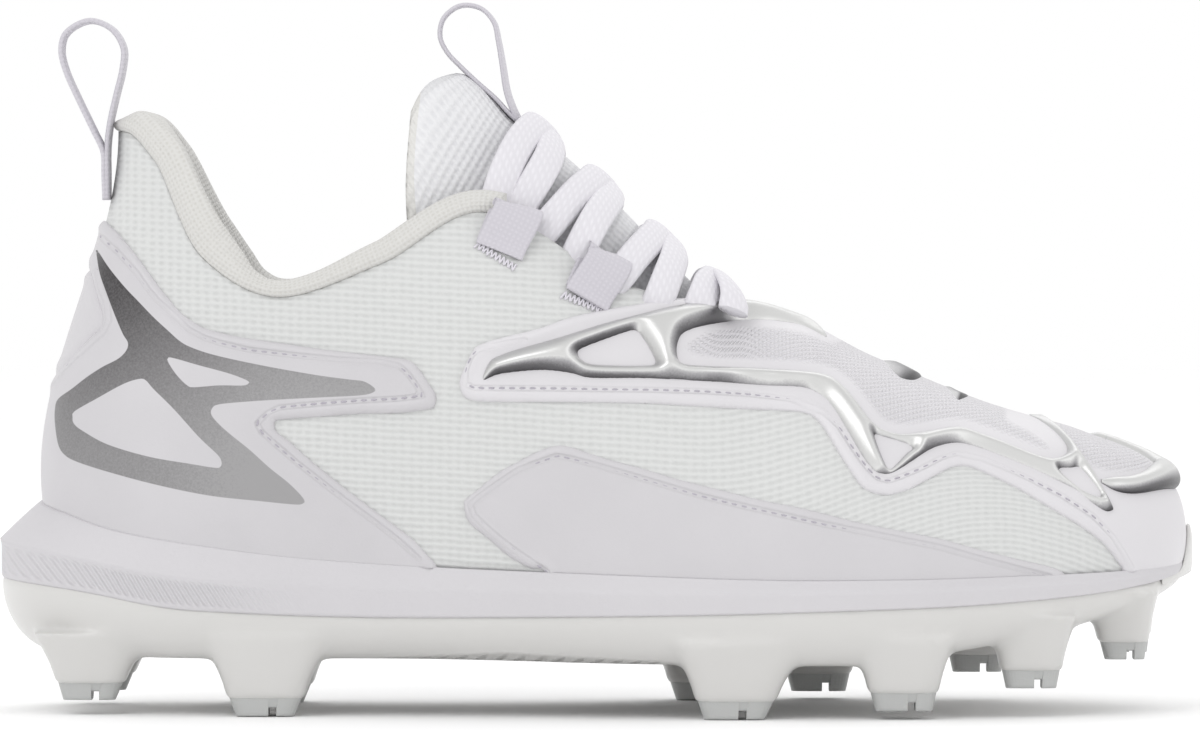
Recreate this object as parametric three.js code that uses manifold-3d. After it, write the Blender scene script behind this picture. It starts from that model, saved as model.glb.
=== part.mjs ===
// Moulded baseball cleat, right shoe, standing empty on its studs.
// Millimetres, +Z up, toe towards +X, outer (lateral) side towards -Y, floor at Z = 0.
// A place along the shoe is a share of its length, 0 at the rearmost point and 1 at the toe.

import * as THREE from 'three';
import { mergeVertices } from 'three/addons/utils/BufferGeometryUtils.js';
import Module from 'manifold-3d';

const wasm = await Module();
wasm.setup();

// Driving sizes of the shoe.
const shoeLength = 246;
const ballWidth = 84; // upper, across the ball
const heelWidth = 58; // upper, across the heel
const collarHeight = 119; // top edge of the upper at the heel, above the floor
const instepHeight = 83; // front end of the throat, above the floor
const soleHeight = 43; // feather line at the heel, above the floor
const studTipHeight = 4.3;
const notchWidth = 1.6;
const notchHeight = 1.8;

// Walls and clearances.
const upperWall = 2.2;
const overlayWall = 1.0;
const frameWall = 1.8;
const insoleThickness = 3.5;
const tongueThickness = 6;
const liningDrop = 28;
const liningThickness = 5;
const webbingThickness = 1.3;
const webbingWidth = 10;
const laceWidth = 7.5;
const laceThickness = 2;
const gap = 0.3;
const flare = 0.12; // how far the wall leans out as it leaves the sole

// The sole's section. Shares of the midsole are counted up from the parting line, shares of the
// plate up from its underside, and both reach from 0 to 1.
const soleEdge = 1.0; // step from the midsole's side to the plate's
const heelFlareShare = 0.055; // of the ball width
const bevelFoot = 0.56;
const ridgeFoot = 0.30;
const plateKnee = { up: 0.62, tuck: 0.12 };
const plateCurl = { up: 0.22, tuck: 0.45 };

// The toe rand.
const randStart = 0.955;
const randThickness = 1.4;
const randFoot = 1.5;
const randRise = 0.16; // above the feather line, in shares of the sole height

// Studs: how much of the way from tip size to root size the section has grown, by level.
const studRoot = { grown: 0.95, wide: 1.5, sunk: 3 };
const studWaist = { grown: 0.50, wide: 1.25 };
const studFoot = { grown: 0.26, wide: 1.04 };
const tipTop = { grown: 0.24, wide: 1.02 };
const tipFloor = { grown: 0, wide: 0.86 };
const notchShift = 0.25; // of half the tip's length, towards the toe

// Webbing loops.
const heelLoopInset = 1.4;
const heelLoopDrop = 4;
const laceLoopFoot = 0.85; // shares of the wall's height
const laceLoopHead = 1.02;

// How finely the curved forms are divided.
const wallStations = 26;
const wallRows = 7;

const lateral = -1;
const medial = 1;

// Each row is one section of the last. Half-widths are shares of half the local width, which
// runs from the heel width to the ball width. Heights of the feather line are shares of the
// sole height. Heights of the top edge are shares of the local height, which runs from the
// collar height to the instep height. Bulge and shoulder are how far the wall keeps its
// direction at the feather line and at the top edge, as shares of the wall's reach. Lean is 0
// where the wall ends upright, at the collar, and 1 where it ends lying flat, on the vamp.
const LAST = table(
  ['along', 'lateral', 'medial', 'feather', 'topAlong', 'topLateral', 'topMedial', 'topHeight',
    'bulge', 'shoulder', 'lean'],
  [
    [0.037, 0.00, 0.00, 1.00, 0.097, 0.00, 0.00, 1.00, 0.34, 0.34, 0.00],
    [0.056, 0.53, 0.53, 0.98, 0.108, 0.28, 0.28, 0.995, 0.34, 0.34, 0.00],
    [0.104, 0.84, 0.84, 0.92, 0.131, 0.52, 0.52, 0.945, 0.34, 0.34, 0.00],
    [0.180, 0.98, 0.97, 0.84, 0.171, 0.78, 0.76, 0.782, 0.34, 0.34, 0.02],
    [0.266, 1.00, 0.94, 0.78, 0.236, 0.90, 0.86, 0.714, 0.34, 0.34, 0.04],
    [0.362, 0.99, 0.85, 0.745, 0.321, 0.87, 0.83, 0.772, 0.34, 0.34, 0.10],
    [0.448, 0.97, 0.77, 0.73, 0.401, 0.76, 0.74, 0.859, 0.34, 0.32, 0.26],
    [0.535, 0.96, 0.81, 0.715, 0.486, 0.61, 0.59, 0.856, 0.32, 0.30, 0.42],
    [0.611, 0.98, 0.905, 0.70, 0.575, 0.42, 0.40, 0.961, 0.32, 0.28, 0.62],
    [0.668, 1.00, 0.965, 0.69, 0.624, 0.00, 0.00, 1.00, 0.32, 0.30, 1.00],
    [0.754, 0.965, 1.00, 0.68, 0.728, 0.00, 0.00, 0.865, 0.32, 0.32, 1.00],
    [0.850, 0.82, 0.94, 0.675, 0.829, 0.00, 0.00, 0.745, 0.34, 0.36, 1.00],
    [0.927, 0.57, 0.75, 0.68, 0.894, 0.00, 0.00, 0.69, 0.36, 0.42, 1.00],
    [0.975, 0.24, 0.48, 0.70, 0.915, 0.00, 0.00, 0.667, 0.42, 0.45, 1.00],
    [0.988, -0.17, 0.17, 0.73, 0.922, 0.00, 0.00, 0.66, 0.45, 0.45, 1.00],
  ],
);

// The sole's margin beyond the upper's feather line and the tuck of its underside, in shares of
// the ball width. Heights of the parting line and the plate's underside, in shares of the sole
// height.
const SOLE = table(
  ['along', 'margin', 'parting', 'plate', 'tuck'],
  [
    [0.000, 0.050, 0.64, 0.34, 0.150],
    [0.050, 0.050, 0.615, 0.28, 0.130],
    [0.166, 0.040, 0.52, 0.27, 0.090],
    [0.330, 0.030, 0.49, 0.27, 0.090],
    [0.530, 0.030, 0.51, 0.255, 0.085],
    [0.700, 0.030, 0.535, 0.25, 0.080],
    [0.790, 0.030, 0.55, 0.31, 0.080],
    [0.890, 0.026, 0.58, 0.41, 0.080],
    [0.950, 0.020, 0.62, 0.50, 0.080],
    [1.000, 0.006, 0.69, 0.60, 0.060],
  ],
);

// Height of the padded roll above the upper's edge, in shares of the lining's thickness.
const ROLL = table(
  ['along', 'height'],
  [
    [0.090, 1.10],
    [0.171, 1.25],
    [0.236, 0.75],
    [0.321, 0.85],
    [0.401, 0.80],
  ],
);

// Tongue sections from the toe end to the top: ridge and side edge seen from the side, and
// the half-width as a share of half the heel width. Heights are shares of the local height.
const TONGUE = table(
  ['part', 'ridgeAlong', 'ridgeHeight', 'edgeAlong', 'edgeHeight', 'half'],
  [
    [0.00, 0.665, 0.830, 0.640, 0.700, 0.50],
    [0.15, 0.624, 0.935, 0.585, 0.700, 0.66],
    [0.32, 0.575, 1.010, 0.515, 0.680, 0.76],
    [0.50, 0.522, 1.035, 0.450, 0.640, 0.74],
    [0.66, 0.474, 1.030, 0.400, 0.640, 0.68],
    [0.80, 0.433, 1.020, 0.360, 0.720, 0.66],
    [0.92, 0.400, 1.066, 0.345, 0.880, 0.66],
    [1.00, 0.386, 1.082, 0.362, 1.055, 0.56],
  ],
);

// Studs of one side. Reaches are lengths from the tip's middle to the stud's root, back and
// front, and sizes are in shares of the ball width. Across is the share of the sole's
// half-width at which the tip stands, rise the tip's height above the floor.
const STUDS = table(
  ['along', 'tip', 'back', 'front', 'across', 'depth', 'rise', 'inward'],
  [
    [0.077, 0.125, 0.130, 0.160, 0.66, 0.110, 0.035, 0.000],
    [0.224, 0.140, 0.155, 0.165, 0.76, 0.110, 0.000, 0.000],
    [0.610, 0.145, 0.150, 0.185, 0.80, 0.110, 0.000, 0.020],
    [0.749, 0.135, 0.130, 0.120, 0.80, 0.110, 0.020, 0.062],
    [0.855, 0.120, 0.110, 0.105, 0.74, 0.100, 0.070, 0.033],
    [0.936, 0.095, 0.110, 0.075, 0.52, 0.095, 0.130, -0.010],
  ],
);
const studNames = ['heel_rear', 'heel_front', 'ball_rear', 'ball_middle', 'ball_front', 'toe'];

// Outlines of the overlays as seen from the side: along is the share of the shoe's length, up
// the share of the height from the feather line to the top line there.
const COUNTER = [
  [0.000, 1.20], [0.075, 1.20], [0.082, 0.92], [0.103, 0.72], [0.124, 0.67], [0.158, 0.73], [0.190, 0.79],
  [0.250, 0.81], [0.316, 0.70], [0.338, 0.65], [0.362, 0.54], [0.365, 0.50], [0.352, 0.47],
  [0.285, 0.51], [0.236, 0.52], [0.229, 0.48], [0.266, 0.36], [0.300, 0.22], [0.333, 0.11],
  [0.368, 0.01], [0.000, 0.01],
];
// The back tab seen from behind: half-width as a share of half the heel width, and height as a
// share of the collar height.
const BACK_TAB = [[0.31, 0.880], [0.38, 0.82], [0.48, 0.70], [0.52, 0.645], [0.31, 0.605], [0.0, 0.565]];
const WRAP = [
  [0.386, 0.17], [0.416, 0.27], [0.450, 0.37], [0.465, 0.39], [0.517, 0.38], [0.584, 0.34],
  [0.634, 0.29], [0.701, 0.26], [0.751, 0.22], [0.834, 0.11], [0.880, 0.02], [0.442, 0.02],
  [0.416, 0.05], [0.391, 0.11],
];
const TOE_OVERLAY = [
  [0.640, 1.20], [0.560, 0.94], [0.517, 0.86], [0.467, 0.76], [0.416, 0.66], [0.391, 0.61],
  [0.383, 0.54], [0.384, 0.49], [0.393, 0.47], [0.533, 0.60], [0.663, 0.67], [0.680, 0.65],
  [0.696, 0.56], [0.711, 0.45], [0.726, 0.41], [0.745, 0.40], [0.763, 0.45], [0.797, 0.61],
  [0.816, 0.63], [0.868, 0.52], [0.901, 0.38], [0.924, 0.20], [0.938, 0.02], [1.050, 0.02],
  [1.050, 1.20],
];
const FRAME = [
  [0.401, 0.54], [0.411, 0.60], [0.467, 0.73], [0.533, 0.87], [0.584, 0.93], [0.621, 0.95],
  [0.657, 0.96], [0.684, 0.95], [0.650, 0.89], [0.584, 0.86], [0.569, 0.83], [0.563, 0.79],
  [0.575, 0.76], [0.667, 0.82], [0.699, 0.83], [0.727, 0.68], [0.742, 0.67], [0.797, 0.79],
  [0.843, 0.80], [0.878, 0.76], [0.901, 0.68], [0.926, 0.52], [0.920, 0.47], [0.884, 0.61],
  [0.834, 0.68], [0.801, 0.72], [0.772, 0.62], [0.741, 0.50], [0.716, 0.66], [0.694, 0.76],
  [0.667, 0.75], [0.584, 0.70], [0.483, 0.62],
];
const FRAME_WINDOW = [
  [0.487, 0.69], [0.511, 0.77], [0.527, 0.79], [0.541, 0.74], [0.535, 0.72], [0.505, 0.69],
];
const KNEE_WINDOW = [[0.731, 0.63], [0.757, 0.65], [0.741, 0.55]];
const FIN = [
  [0.848, 0.93], [0.870, 0.93], [0.886, 0.86], [0.899, 0.80], [0.893, 0.76], [0.876, 0.82],
  [0.858, 0.86],
];

const colours = {
  knit: 0xe9eae9, overlay: 0xdad7db, silver: 0xb9babc, lining: 0xe9e7e0, midsole: 0xe3e1e5,
  outsole: 0xdedddb, tip: 0xb9bab9, webbing: 0xe8e4ec, lace: 0xf1eff4, board: 0xd9d8d6,
};

// Tables and curves.

function table(names, rows) {
  const columns = {};
  names.forEach((name, index) => {
    columns[name] = rows.map((row) => row[index]);
  });
  return columns;
}

// Monotone cubic through a table's column. It never swings past the values it joins.
function curve(knots, values, at) {
  const last = knots.length - 1;
  const x = Math.min(Math.max(at, knots[0]), knots[last]);
  let i = 0;
  while (i < last - 1 && x > knots[i + 1]) {
    i += 1;
  }
  const step = knots[i + 1] - knots[i];
  const t = (x - knots[i]) / step;
  const rise = (k) => (values[k + 1] - values[k]) / (knots[k + 1] - knots[k]);
  const slope = (k) => {
    if (k === 0) {
      return rise(0);
    }
    if (k === last) {
      return rise(last - 1);
    }
    const before = rise(k - 1);
    const after = rise(k);
    return before * after <= 0 ? 0 : (2 * before * after) / (before + after);
  };
  const h = t * t * (3 - 2 * t);
  const inward = slope(i) * t * (1 - t) * (1 - t) - slope(i + 1) * t * t * (1 - t);
  return values[i] * (1 - h) + values[i + 1] * h + step * inward;
}

const mix = (a, b, t) => a + (b - a) * t;
const ease = (from, to, at) => THREE.MathUtils.smoothstep(at, from, to);
const vec = (x, y, z) => new THREE.Vector3(x, y, z);
const up = vec(0, 0, 1);
const xAt = (along) => (along - 0.5) * shoeLength;
const halfWidthAt = (along) => mix(heelWidth, ballWidth, ease(0.27, 0.62, along)) / 2;
const heightAt = (along) => mix(collarHeight, instepHeight, ease(0.401, 0.624, along));

// A station is 0 at the middle of the heel and 1 at the tip of the toe. It runs like the angle
// round an ellipse, so that the plan outline closes round at both ends.
const lastHeel = LAST.along[0];
const lastToe = LAST.along.at(-1);
const stationOf = (along) => Math.acos(1 - (2 * (along - lastHeel)) / (lastToe - lastHeel)) / Math.PI;
const alongOf = (station) => lastHeel + ((lastToe - lastHeel) * (1 - Math.cos(Math.PI * station))) / 2;
const stations = LAST.along.map((along) => stationOf(Math.min(along, lastToe)));
const last = (column, station) => curve(stations, LAST[column], station);
const throatFront = stations[LAST.along.indexOf(0.668)];
const throatRear = stations[LAST.along.indexOf(0.448)];

// The upper: one wall curve at each station, from the feather line to the top edge.

function rimPoint(side, station) {
  const along = alongOf(station);
  const width = last(side === lateral ? 'lateral' : 'medial', station);
  return vec(xAt(along), side * width * halfWidthAt(along), last('feather', station) * soleHeight);
}

function topPoint(side, station) {
  const along = last('topAlong', station);
  const width = last(side === lateral ? 'topLateral' : 'topMedial', station);
  const height = last('topHeight', station) * heightAt(along);
  return vec(xAt(along), side * width * halfWidthAt(along), height);
}

function outwardAt(side, station) {
  if (station === 0 || station === 1) {
    return vec(station === 0 ? -1 : 1, 0, 0);
  }
  const small = 0.004;
  const before = rimPoint(side, Math.max(station - small, 0));
  const after = rimPoint(side, Math.min(station + small, 1));
  const run = after.sub(before);
  return vec(-side * run.y, side * run.x, 0).normalize();
}

function wallCurve(side, station, offset) {
  const rim = rimPoint(side, station);
  const top = topPoint(side, station);
  const reach = rim.distanceTo(top);
  const out = outwardAt(side, station);
  const small = 0.01;
  const before = topPoint(side, Math.max(station - small, 0));
  const after = topPoint(side, Math.min(station + small, 1));
  const lean = last('lean', station);
  const slope = ((after.z - before.z) / Math.max(after.x - before.x, small)) * lean ** 2;
  const angle = (lean * Math.PI) / 2;
  const flat = out.clone().addScaledVector(up, slope * out.x).normalize();
  const crown = vec(-slope, 0, 1).normalize();
  const down = flat.multiplyScalar(Math.sin(angle)).addScaledVector(up, -Math.cos(angle));
  const topNormal = crown.multiplyScalar(Math.sin(angle)).addScaledVector(out, Math.cos(angle));
  const rise = up.clone().addScaledVector(out, flare).normalize();
  rim.addScaledVector(out, offset);
  top.addScaledVector(topNormal, offset);
  const low = rim.clone().addScaledVector(rise, last('bulge', station) * reach);
  const high = top.clone().addScaledVector(down, last('shoulder', station) * reach);
  return new THREE.CubicBezierCurve3(rim, low, high, top);
}

// Meshes are gathered as quads and triangles whose shared points merge.

class Skin {
  constructor() {
    this.points = [];
  }

  triangle(a, b, c) {
    this.points.push(a, b, c);
  }

  quad(a, b, c, d) {
    this.triangle(a, b, c);
    this.triangle(a, c, d);
  }

  // Two sheets of points, joined along the edges that the choice names.
  sheets(outer, inner, walls) {
    const rows = outer.length - 1;
    const columns = outer[0].length - 1;
    for (let i = 0; i < rows; i += 1) {
      for (let j = 0; j < columns; j += 1) {
        this.quad(outer[i][j], outer[i + 1][j], outer[i + 1][j + 1], outer[i][j + 1]);
        this.quad(inner[i][j], inner[i][j + 1], inner[i + 1][j + 1], inner[i + 1][j]);
      }
      if (walls.low) {
        this.quad(inner[i][0], inner[i + 1][0], outer[i + 1][0], outer[i][0]);
      }
      if (walls.high && walls.high(i)) {
        this.quad(outer[i][columns], outer[i + 1][columns], inner[i + 1][columns], inner[i][columns]);
      }
    }
    for (let j = 0; j < columns; j += 1) {
      if (walls.start) {
        this.quad(outer[0][j], outer[0][j + 1], inner[0][j + 1], inner[0][j]);
      }
      if (walls.end) {
        this.quad(inner[rows][j], inner[rows][j + 1], outer[rows][j + 1], outer[rows][j]);
      }
    }
  }

  // A closed stack of rings, each a loop of points that pairs up across the shoe.
  rings(loops) {
    const count = loops[0].length;
    for (let k = 0; k < loops.length - 1; k += 1) {
      for (let i = 0; i < count; i += 1) {
        const next = (i + 1) % count;
        this.quad(loops[k][i], loops[k][next], loops[k + 1][next], loops[k + 1][i]);
      }
    }
    this.cap(loops[0], false);
    this.cap(loops.at(-1), true);
  }

  cap(loop, flip) {
    const count = loop.length;
    for (let i = 0; i < count / 2; i += 1) {
      const corners = [loop[i], loop[i + 1], loop[(count - i - 1) % count], loop[(count - i) % count]];
      if (flip) {
        this.quad(...corners);
      } else {
        this.quad(...corners.reverse());
      }
    }
  }

  geometry() {
    const kept = [];
    const grid = 1e4;
    const key = (p) => `${Math.round(p.x * grid)},${Math.round(p.y * grid)},${Math.round(p.z * grid)}`;
    for (let i = 0; i < this.points.length; i += 3) {
      const corners = this.points.slice(i, i + 3);
      const keys = new Set(corners.map(key));
      if (keys.size === 3) {
        kept.push(...corners);
      }
    }
    const raw = new THREE.BufferGeometry().setFromPoints(kept);
    return facingOut(mergeVertices(raw, 1e-3));
  }
}

function facingOut(geometry) {
  const { position } = geometry.attributes;
  const index = geometry.index.array;
  const [a, b, c] = [vec(), vec(), vec()];
  let volume = 0;
  for (let i = 0; i < index.length; i += 3) {
    a.fromBufferAttribute(position, index[i]);
    b.fromBufferAttribute(position, index[i + 1]);
    c.fromBufferAttribute(position, index[i + 2]);
    volume += a.dot(b.cross(c));
  }
  if (volume < 0) {
    for (let i = 0; i < index.length; i += 3) {
      [index[i], index[i + 1]] = [index[i + 1], index[i]];
    }
  }
  return geometry;
}

function solidOf(geometry) {
  const bare = new THREE.BufferGeometry();
  bare.setAttribute('position', geometry.attributes.position);
  bare.setIndex(geometry.index);
  const merged = mergeVertices(bare, 1e-3);
  return new wasm.Manifold(new wasm.Mesh({
    numProp: 3,
    vertProperties: new Float32Array(merged.attributes.position.array),
    triVerts: new Uint32Array(merged.index.array),
  }));
}

function geometryOf(solid) {
  const mesh = solid.getMesh();
  const geometry = new THREE.BufferGeometry();
  geometry.setAttribute('position', new THREE.BufferAttribute(mesh.vertProperties, 3));
  geometry.setIndex(new THREE.BufferAttribute(mesh.triVerts, 1));
  return geometry;
}

const cleat = new THREE.Group();

function place(name, geometry, colour, roughness = 0.7, metalness = 0) {
  const material = new THREE.MeshStandardMaterial({ color: colour, roughness, metalness });
  const mesh = new THREE.Mesh(geometry, material);
  mesh.name = name;
  cleat.add(mesh);
}

// The upper and every shell that follows it.

const evenly = (count, from, to) => Array.from({ length: count + 1 }, (_, i) => mix(from, to, i / count));
const wallAt = stationsThrough(wallStations);

// Even stations, with the nearest ones moved onto the two ends of the throat.
function stationsThrough(count) {
  const list = evenly(count, 0, 1);
  for (const fixed of [throatRear, throatFront]) {
    const nearest = list.reduce((best, at) => (Math.abs(at - fixed) < Math.abs(best - fixed) ? at : best));
    list[list.indexOf(nearest)] = fixed;
  }
  return list;
}

function wallSheet(side, offset) {
  return wallAt.map((station) => wallCurve(side, station, offset).getPoints(wallRows));
}

function upperShell(inner, outer) {
  const skin = new Skin();
  const open = (i) => wallAt[i] < throatFront - 1e-6;
  for (const side of [lateral, medial]) {
    const sheets = [wallSheet(side, outer), wallSheet(side, inner)];
    if (side === medial) {
      sheets.forEach((sheet) => sheet.reverse());
    }
    const high = (i) => open(side === medial ? wallAt.length - 2 - i : i);
    skin.sheets(...sheets, { low: true, high });
  }
  return skin.geometry();
}

place('upper', upperShell(-upperWall, 0), colours.knit, 0.85);

// Sole rings: a loop round the plan outline, outer side from heel to toe and back along the
// inner side, grown by a margin and set at a height that depends on the place along the shoe.

const ringAt = wallAt;

function ring(grow, height) {
  const loop = [];
  for (const side of [lateral, medial]) {
    const list = side === lateral ? ringAt : ringAt.slice(1, -1).reverse();
    for (const station of list) {
      const rim = rimPoint(side, station);
      const along = rim.x / shoeLength + 0.5;
      rim.addScaledVector(outwardAt(side, station), grow(along));
      rim.z = height(along, station);
      loop.push(rim);
    }
  }
  return loop;
}

const sole = (column, along) => curve(SOLE.along, SOLE[column], along);
const marginAt = (along) => sole('margin', along) * ballWidth + heelFlare(along);
const heelFlare = (along) => heelFlareShare * ballWidth * (1 - ease(0.03, 0.10, along));
const stationNear = (along) => stationOf(THREE.MathUtils.clamp(along, lastHeel, lastToe));
const featherAt = (along) => last('feather', stationNear(along)) * soleHeight;
const partingAt = (along) => sole('parting', along) * soleHeight;
const plateAt = (along) => sole('plate', along) * soleHeight;
const tuckAt = (along) => sole('tuck', along) * ballWidth;
const plateEdge = (along) => marginAt(along) - soleEdge;

const insole = new Skin();
insole.rings([
  ring(() => -upperWall - gap, featherAt),
  ring(() => -upperWall - insoleThickness / 2, (along) => featherAt(along) + insoleThickness),
]);
place('insole', insole.geometry(), colours.board, 0.9);

const midsoleHeight = (share) => (along) => mix(partingAt(along), featherAt(along), share);
const midsole = new Skin();
midsole.rings([
  ring(() => soleEdge, (along) => featherAt(along) - gap),
  ring(marginAt, midsoleHeight(bevelFoot)),
  ring(marginAt, midsoleHeight(ridgeFoot)),
  ring((along) => marginAt(along) - soleEdge / 2, (along) => partingAt(along) + gap / 2),
]);
place('midsole', midsole.geometry(), colours.midsole, 0.6);

const plateRing = (knee) => ring(
  (along) => plateEdge(along) - tuckAt(along) * knee.tuck,
  (along) => mix(plateAt(along), partingAt(along), knee.up),
);
const plate = new Skin();
plate.rings([
  ring(plateEdge, (along) => partingAt(along) - gap / 2),
  plateRing(plateKnee),
  plateRing(plateCurl),
  plateRing({ up: 0, tuck: 1 }),
]);

// A stud is a stack of rounded rectangles from its root in the plate down to its tip.

function roundedLoop(centreX, centreY, back, front, depth, z) {
  const corners = 12;
  const loop = [];
  for (let i = 0; i < corners; i += 1) {
    const angle = ((i + 0.5) / corners) * Math.PI * 2;
    const square = 0.55;
    const c = Math.sign(Math.cos(angle)) * Math.abs(Math.cos(angle)) ** square;
    const s = Math.sign(Math.sin(angle)) * Math.abs(Math.sin(angle)) ** square;
    loop.push(vec(centreX + c * (c > 0 ? front : back), centreY + (s * depth) / 2, z));
  }
  return loop;
}

function stack(loops) {
  const skin = new Skin();
  for (let k = 0; k < loops.length - 1; k += 1) {
    for (let i = 0; i < loops[k].length; i += 1) {
      const next = (i + 1) % loops[k].length;
      skin.quad(loops[k][i], loops[k][next], loops[k + 1][next], loops[k + 1][i]);
    }
  }
  for (const [loop, flip] of [[loops[0], true], [loops.at(-1), false]]) {
    for (let i = 1; i < loop.length - 1; i += 1) {
      const corners = [loop[0], loop[i], loop[i + 1]];
      skin.triangle(...(flip ? corners.reverse() : corners));
    }
  }
  return skin.geometry();
}

// Studs reach no further out than the plate's own side.
const plateColumn = new Skin();
plateColumn.rings([ring(plateEdge, () => -soleHeight), ring(plateEdge, () => soleHeight)]);
const underPlate = solidOf(plateColumn.geometry());
let outsole = solidOf(plate.geometry());
const tips = [];
for (const side of [lateral, medial]) {
  studNames.forEach((name, row) => {
    const stud = (column) => STUDS[column][row];
    const along = stud('along') - (side === medial ? stud('inward') : 0);
    const x = xAt(along);
    const station = stationOf(along);
    const edge = rimPoint(side, station).y + side * marginAt(along);
    const y = edge * stud('across');
    const floor = stud('rise') * ballWidth;
    const tipHalf = (stud('tip') * ballWidth) / 2;
    const depth = stud('depth') * ballWidth;
    const root = plateAt(along) + studRoot.sunk;
    const joint = floor + studTipHeight;
    const reach = (share) => [
      mix(tipHalf, stud('back') * ballWidth, share), mix(tipHalf, stud('front') * ballWidth, share),
    ];
    const level = ({ grown, wide }, z) => roundedLoop(x, y, ...reach(grown), depth * wide, z);
    const body = stack([
      level(studRoot, root), level(studWaist, (root + joint) / 2), level(studFoot, joint + gap),
    ]);
    outsole = outsole.add(solidOf(body).intersect(underPlate));
    const tip = solidOf(stack([level(tipTop, joint), level(tipFloor, floor)]));
    const notch = new THREE.BoxGeometry(notchWidth, depth * 2, notchHeight * 2);
    notch.deleteAttribute('normal');
    notch.deleteAttribute('uv');
    notch.translate(x + tipHalf * notchShift, y, floor);
    const sideName = side === lateral ? 'outer' : 'inner';
    tips.push([`stud_tip_${name}_${sideName}`, geometryOf(tip.subtract(solidOf(notch)))]);
  });
}
place('outsole', geometryOf(outsole), colours.outsole, 0.35);
tips.forEach(([name, geometry]) => place(name, geometry, colours.tip, 0.5));

// The tongue: sections across a ridge line that climbs from inside the vamp to above the collar.

function tonguePoint(part, across, depth) {
  const at = (column) => curve(TONGUE.part, TONGUE[column], part);
  const ridge = vec(xAt(at('ridgeAlong')), 0, at('ridgeHeight') * heightAt(at('ridgeAlong')));
  const edge = vec(xAt(at('edgeAlong')), 0, at('edgeHeight') * heightAt(at('edgeAlong')));
  const angle = (across * Math.PI) / 2;
  const point = ridge.clone().lerp(edge, 1 - Math.cos(angle));
  point.y = (at('half') * heelWidth / 2) * Math.sin(angle);
  const inward = edge.clone().sub(ridge).normalize();
  point.addScaledVector(inward, depth * Math.cos(angle));
  point.y -= Math.sin(angle) * depth;
  return point;
}

const tongueParts = evenly(13, 0, 1);
const tongueAcross = evenly(12, -1, 1);
const tongueThin = 0.45; // thickness at its edges, as a share of the full one
function thicknessAt(part, across) {
  const fullness = Math.cos((across * Math.PI) / 2) * ease(0, 0.35, part);
  return mix(tongueThin, 1, fullness) * tongueThickness;
}
const tongue = new Skin();
const tongueSheet = (share) => tongueParts.map((part) => tongueAcross.map((across) => (
  tonguePoint(part, across, share * thicknessAt(part, across)))));
tongue.sheets(tongueSheet(0), tongueSheet(1), { low: true, high: () => true, start: true, end: true });
place('tongue', tongue.geometry(), colours.knit, 0.85);

// Overlays: the upper's own shell a little further out, cut to an outline seen from the side.

const rimLine = wallAt.map((station) => rimPoint(lateral, station));
const skyLine = [
  ...wallCurve(lateral, 0, 0).getPoints(wallRows),
  ...wallAt.slice(1).map((station) => topPoint(lateral, station)),
  ...wallCurve(lateral, 1, 0).getPoints(wallRows).reverse().slice(1),
];

function heightOn(line, x) {
  const i = line.findIndex((point) => point.x >= x);
  if (i <= 0) {
    return (i === 0 ? line[0] : line.at(-1)).z;
  }
  const [a, b] = [line[i - 1], line[i]];
  return mix(a.z, b.z, (x - a.x) / (b.x - a.x));
}

// Shares above 1 stand clear over the shoe.
function elevation([along, rise]) {
  const x = xAt(along);
  if (rise > 1) {
    return new THREE.Vector2(x, rise * collarHeight);
  }
  return new THREE.Vector2(x, mix(heightOn(rimLine, x), heightOn(skyLine, x), rise));
}

// A prism across the shoe between two places on Y, with the outline in the XZ plane.
function sidePrism(outline, from, to) {
  const shape = new THREE.Shape(outline.map(elevation));
  const prism = new THREE.ExtrudeGeometry(shape, { depth: to - from, bevelEnabled: false });
  prism.rotateX(Math.PI / 2);
  prism.translate(0, to, 0);
  return solidOf(prism);
}

// A prism along the shoe, with the outline given as half of a shape in the YZ plane.
function rearPrism(halfOutline, grow) {
  const right = halfOutline.map(([half, height]) => (
    new THREE.Vector2((half * heelWidth) / 2 + grow, height * collarHeight)));
  const left = right.map((point) => new THREE.Vector2(-point.x, point.y)).reverse();
  right[0].y += grow;
  left.at(-1).y += grow;
  right.at(-1).y -= grow;
  left[0].y -= grow;
  const shape = new THREE.Shape([...right, ...left]);
  const prism = new THREE.ExtrudeGeometry(shape, { depth: shoeLength / 4, bevelEnabled: false });
  prism.rotateX(Math.PI / 2);
  prism.rotateZ(Math.PI / 2);
  prism.translate(xAt(0), 0, 0);
  return solidOf(prism);
}

const filmShell = solidOf(upperShell(gap, gap + overlayWall));
const frameBase = gap + overlayWall + gap;
const frameShell = solidOf(upperShell(frameBase, frameBase + frameWall));
const outside = { outer: [-ballWidth, -gap], inner: [gap, ballWidth] };

const counter = filmShell.intersect(sidePrism(COUNTER, -ballWidth, ballWidth));
place('heel_counter', geometryOf(counter.subtract(rearPrism(BACK_TAB, gap))), colours.overlay, 0.5);
place('heel_back_tab', geometryOf(filmShell.intersect(rearPrism(BACK_TAB, 0))), colours.overlay, 0.5);
const toeOverlay = filmShell.intersect(sidePrism(TOE_OVERLAY, -ballWidth, ballWidth));
place('toe_overlay', geometryOf(toeOverlay), colours.overlay, 0.5);
for (const [sideName, across] of Object.entries(outside)) {
  const wrap = filmShell.intersect(sidePrism(WRAP, ...across));
  place(`side_wrap_${sideName}`, geometryOf(wrap), colours.overlay, 0.5);
  const bars = frameShell.intersect(sidePrism(FRAME, ...across))
    .subtract(sidePrism(FRAME_WINDOW, ...across))
    .subtract(sidePrism(KNEE_WINDOW, ...across));
  place(`silver_frame_${sideName}`, geometryOf(bars), colours.silver, 0.3, 0.9);
  const fin = frameShell.intersect(sidePrism(FIN, ...across));
  place(`silver_fin_${sideName}`, geometryOf(fin), colours.silver, 0.3, 0.9);
}

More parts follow.
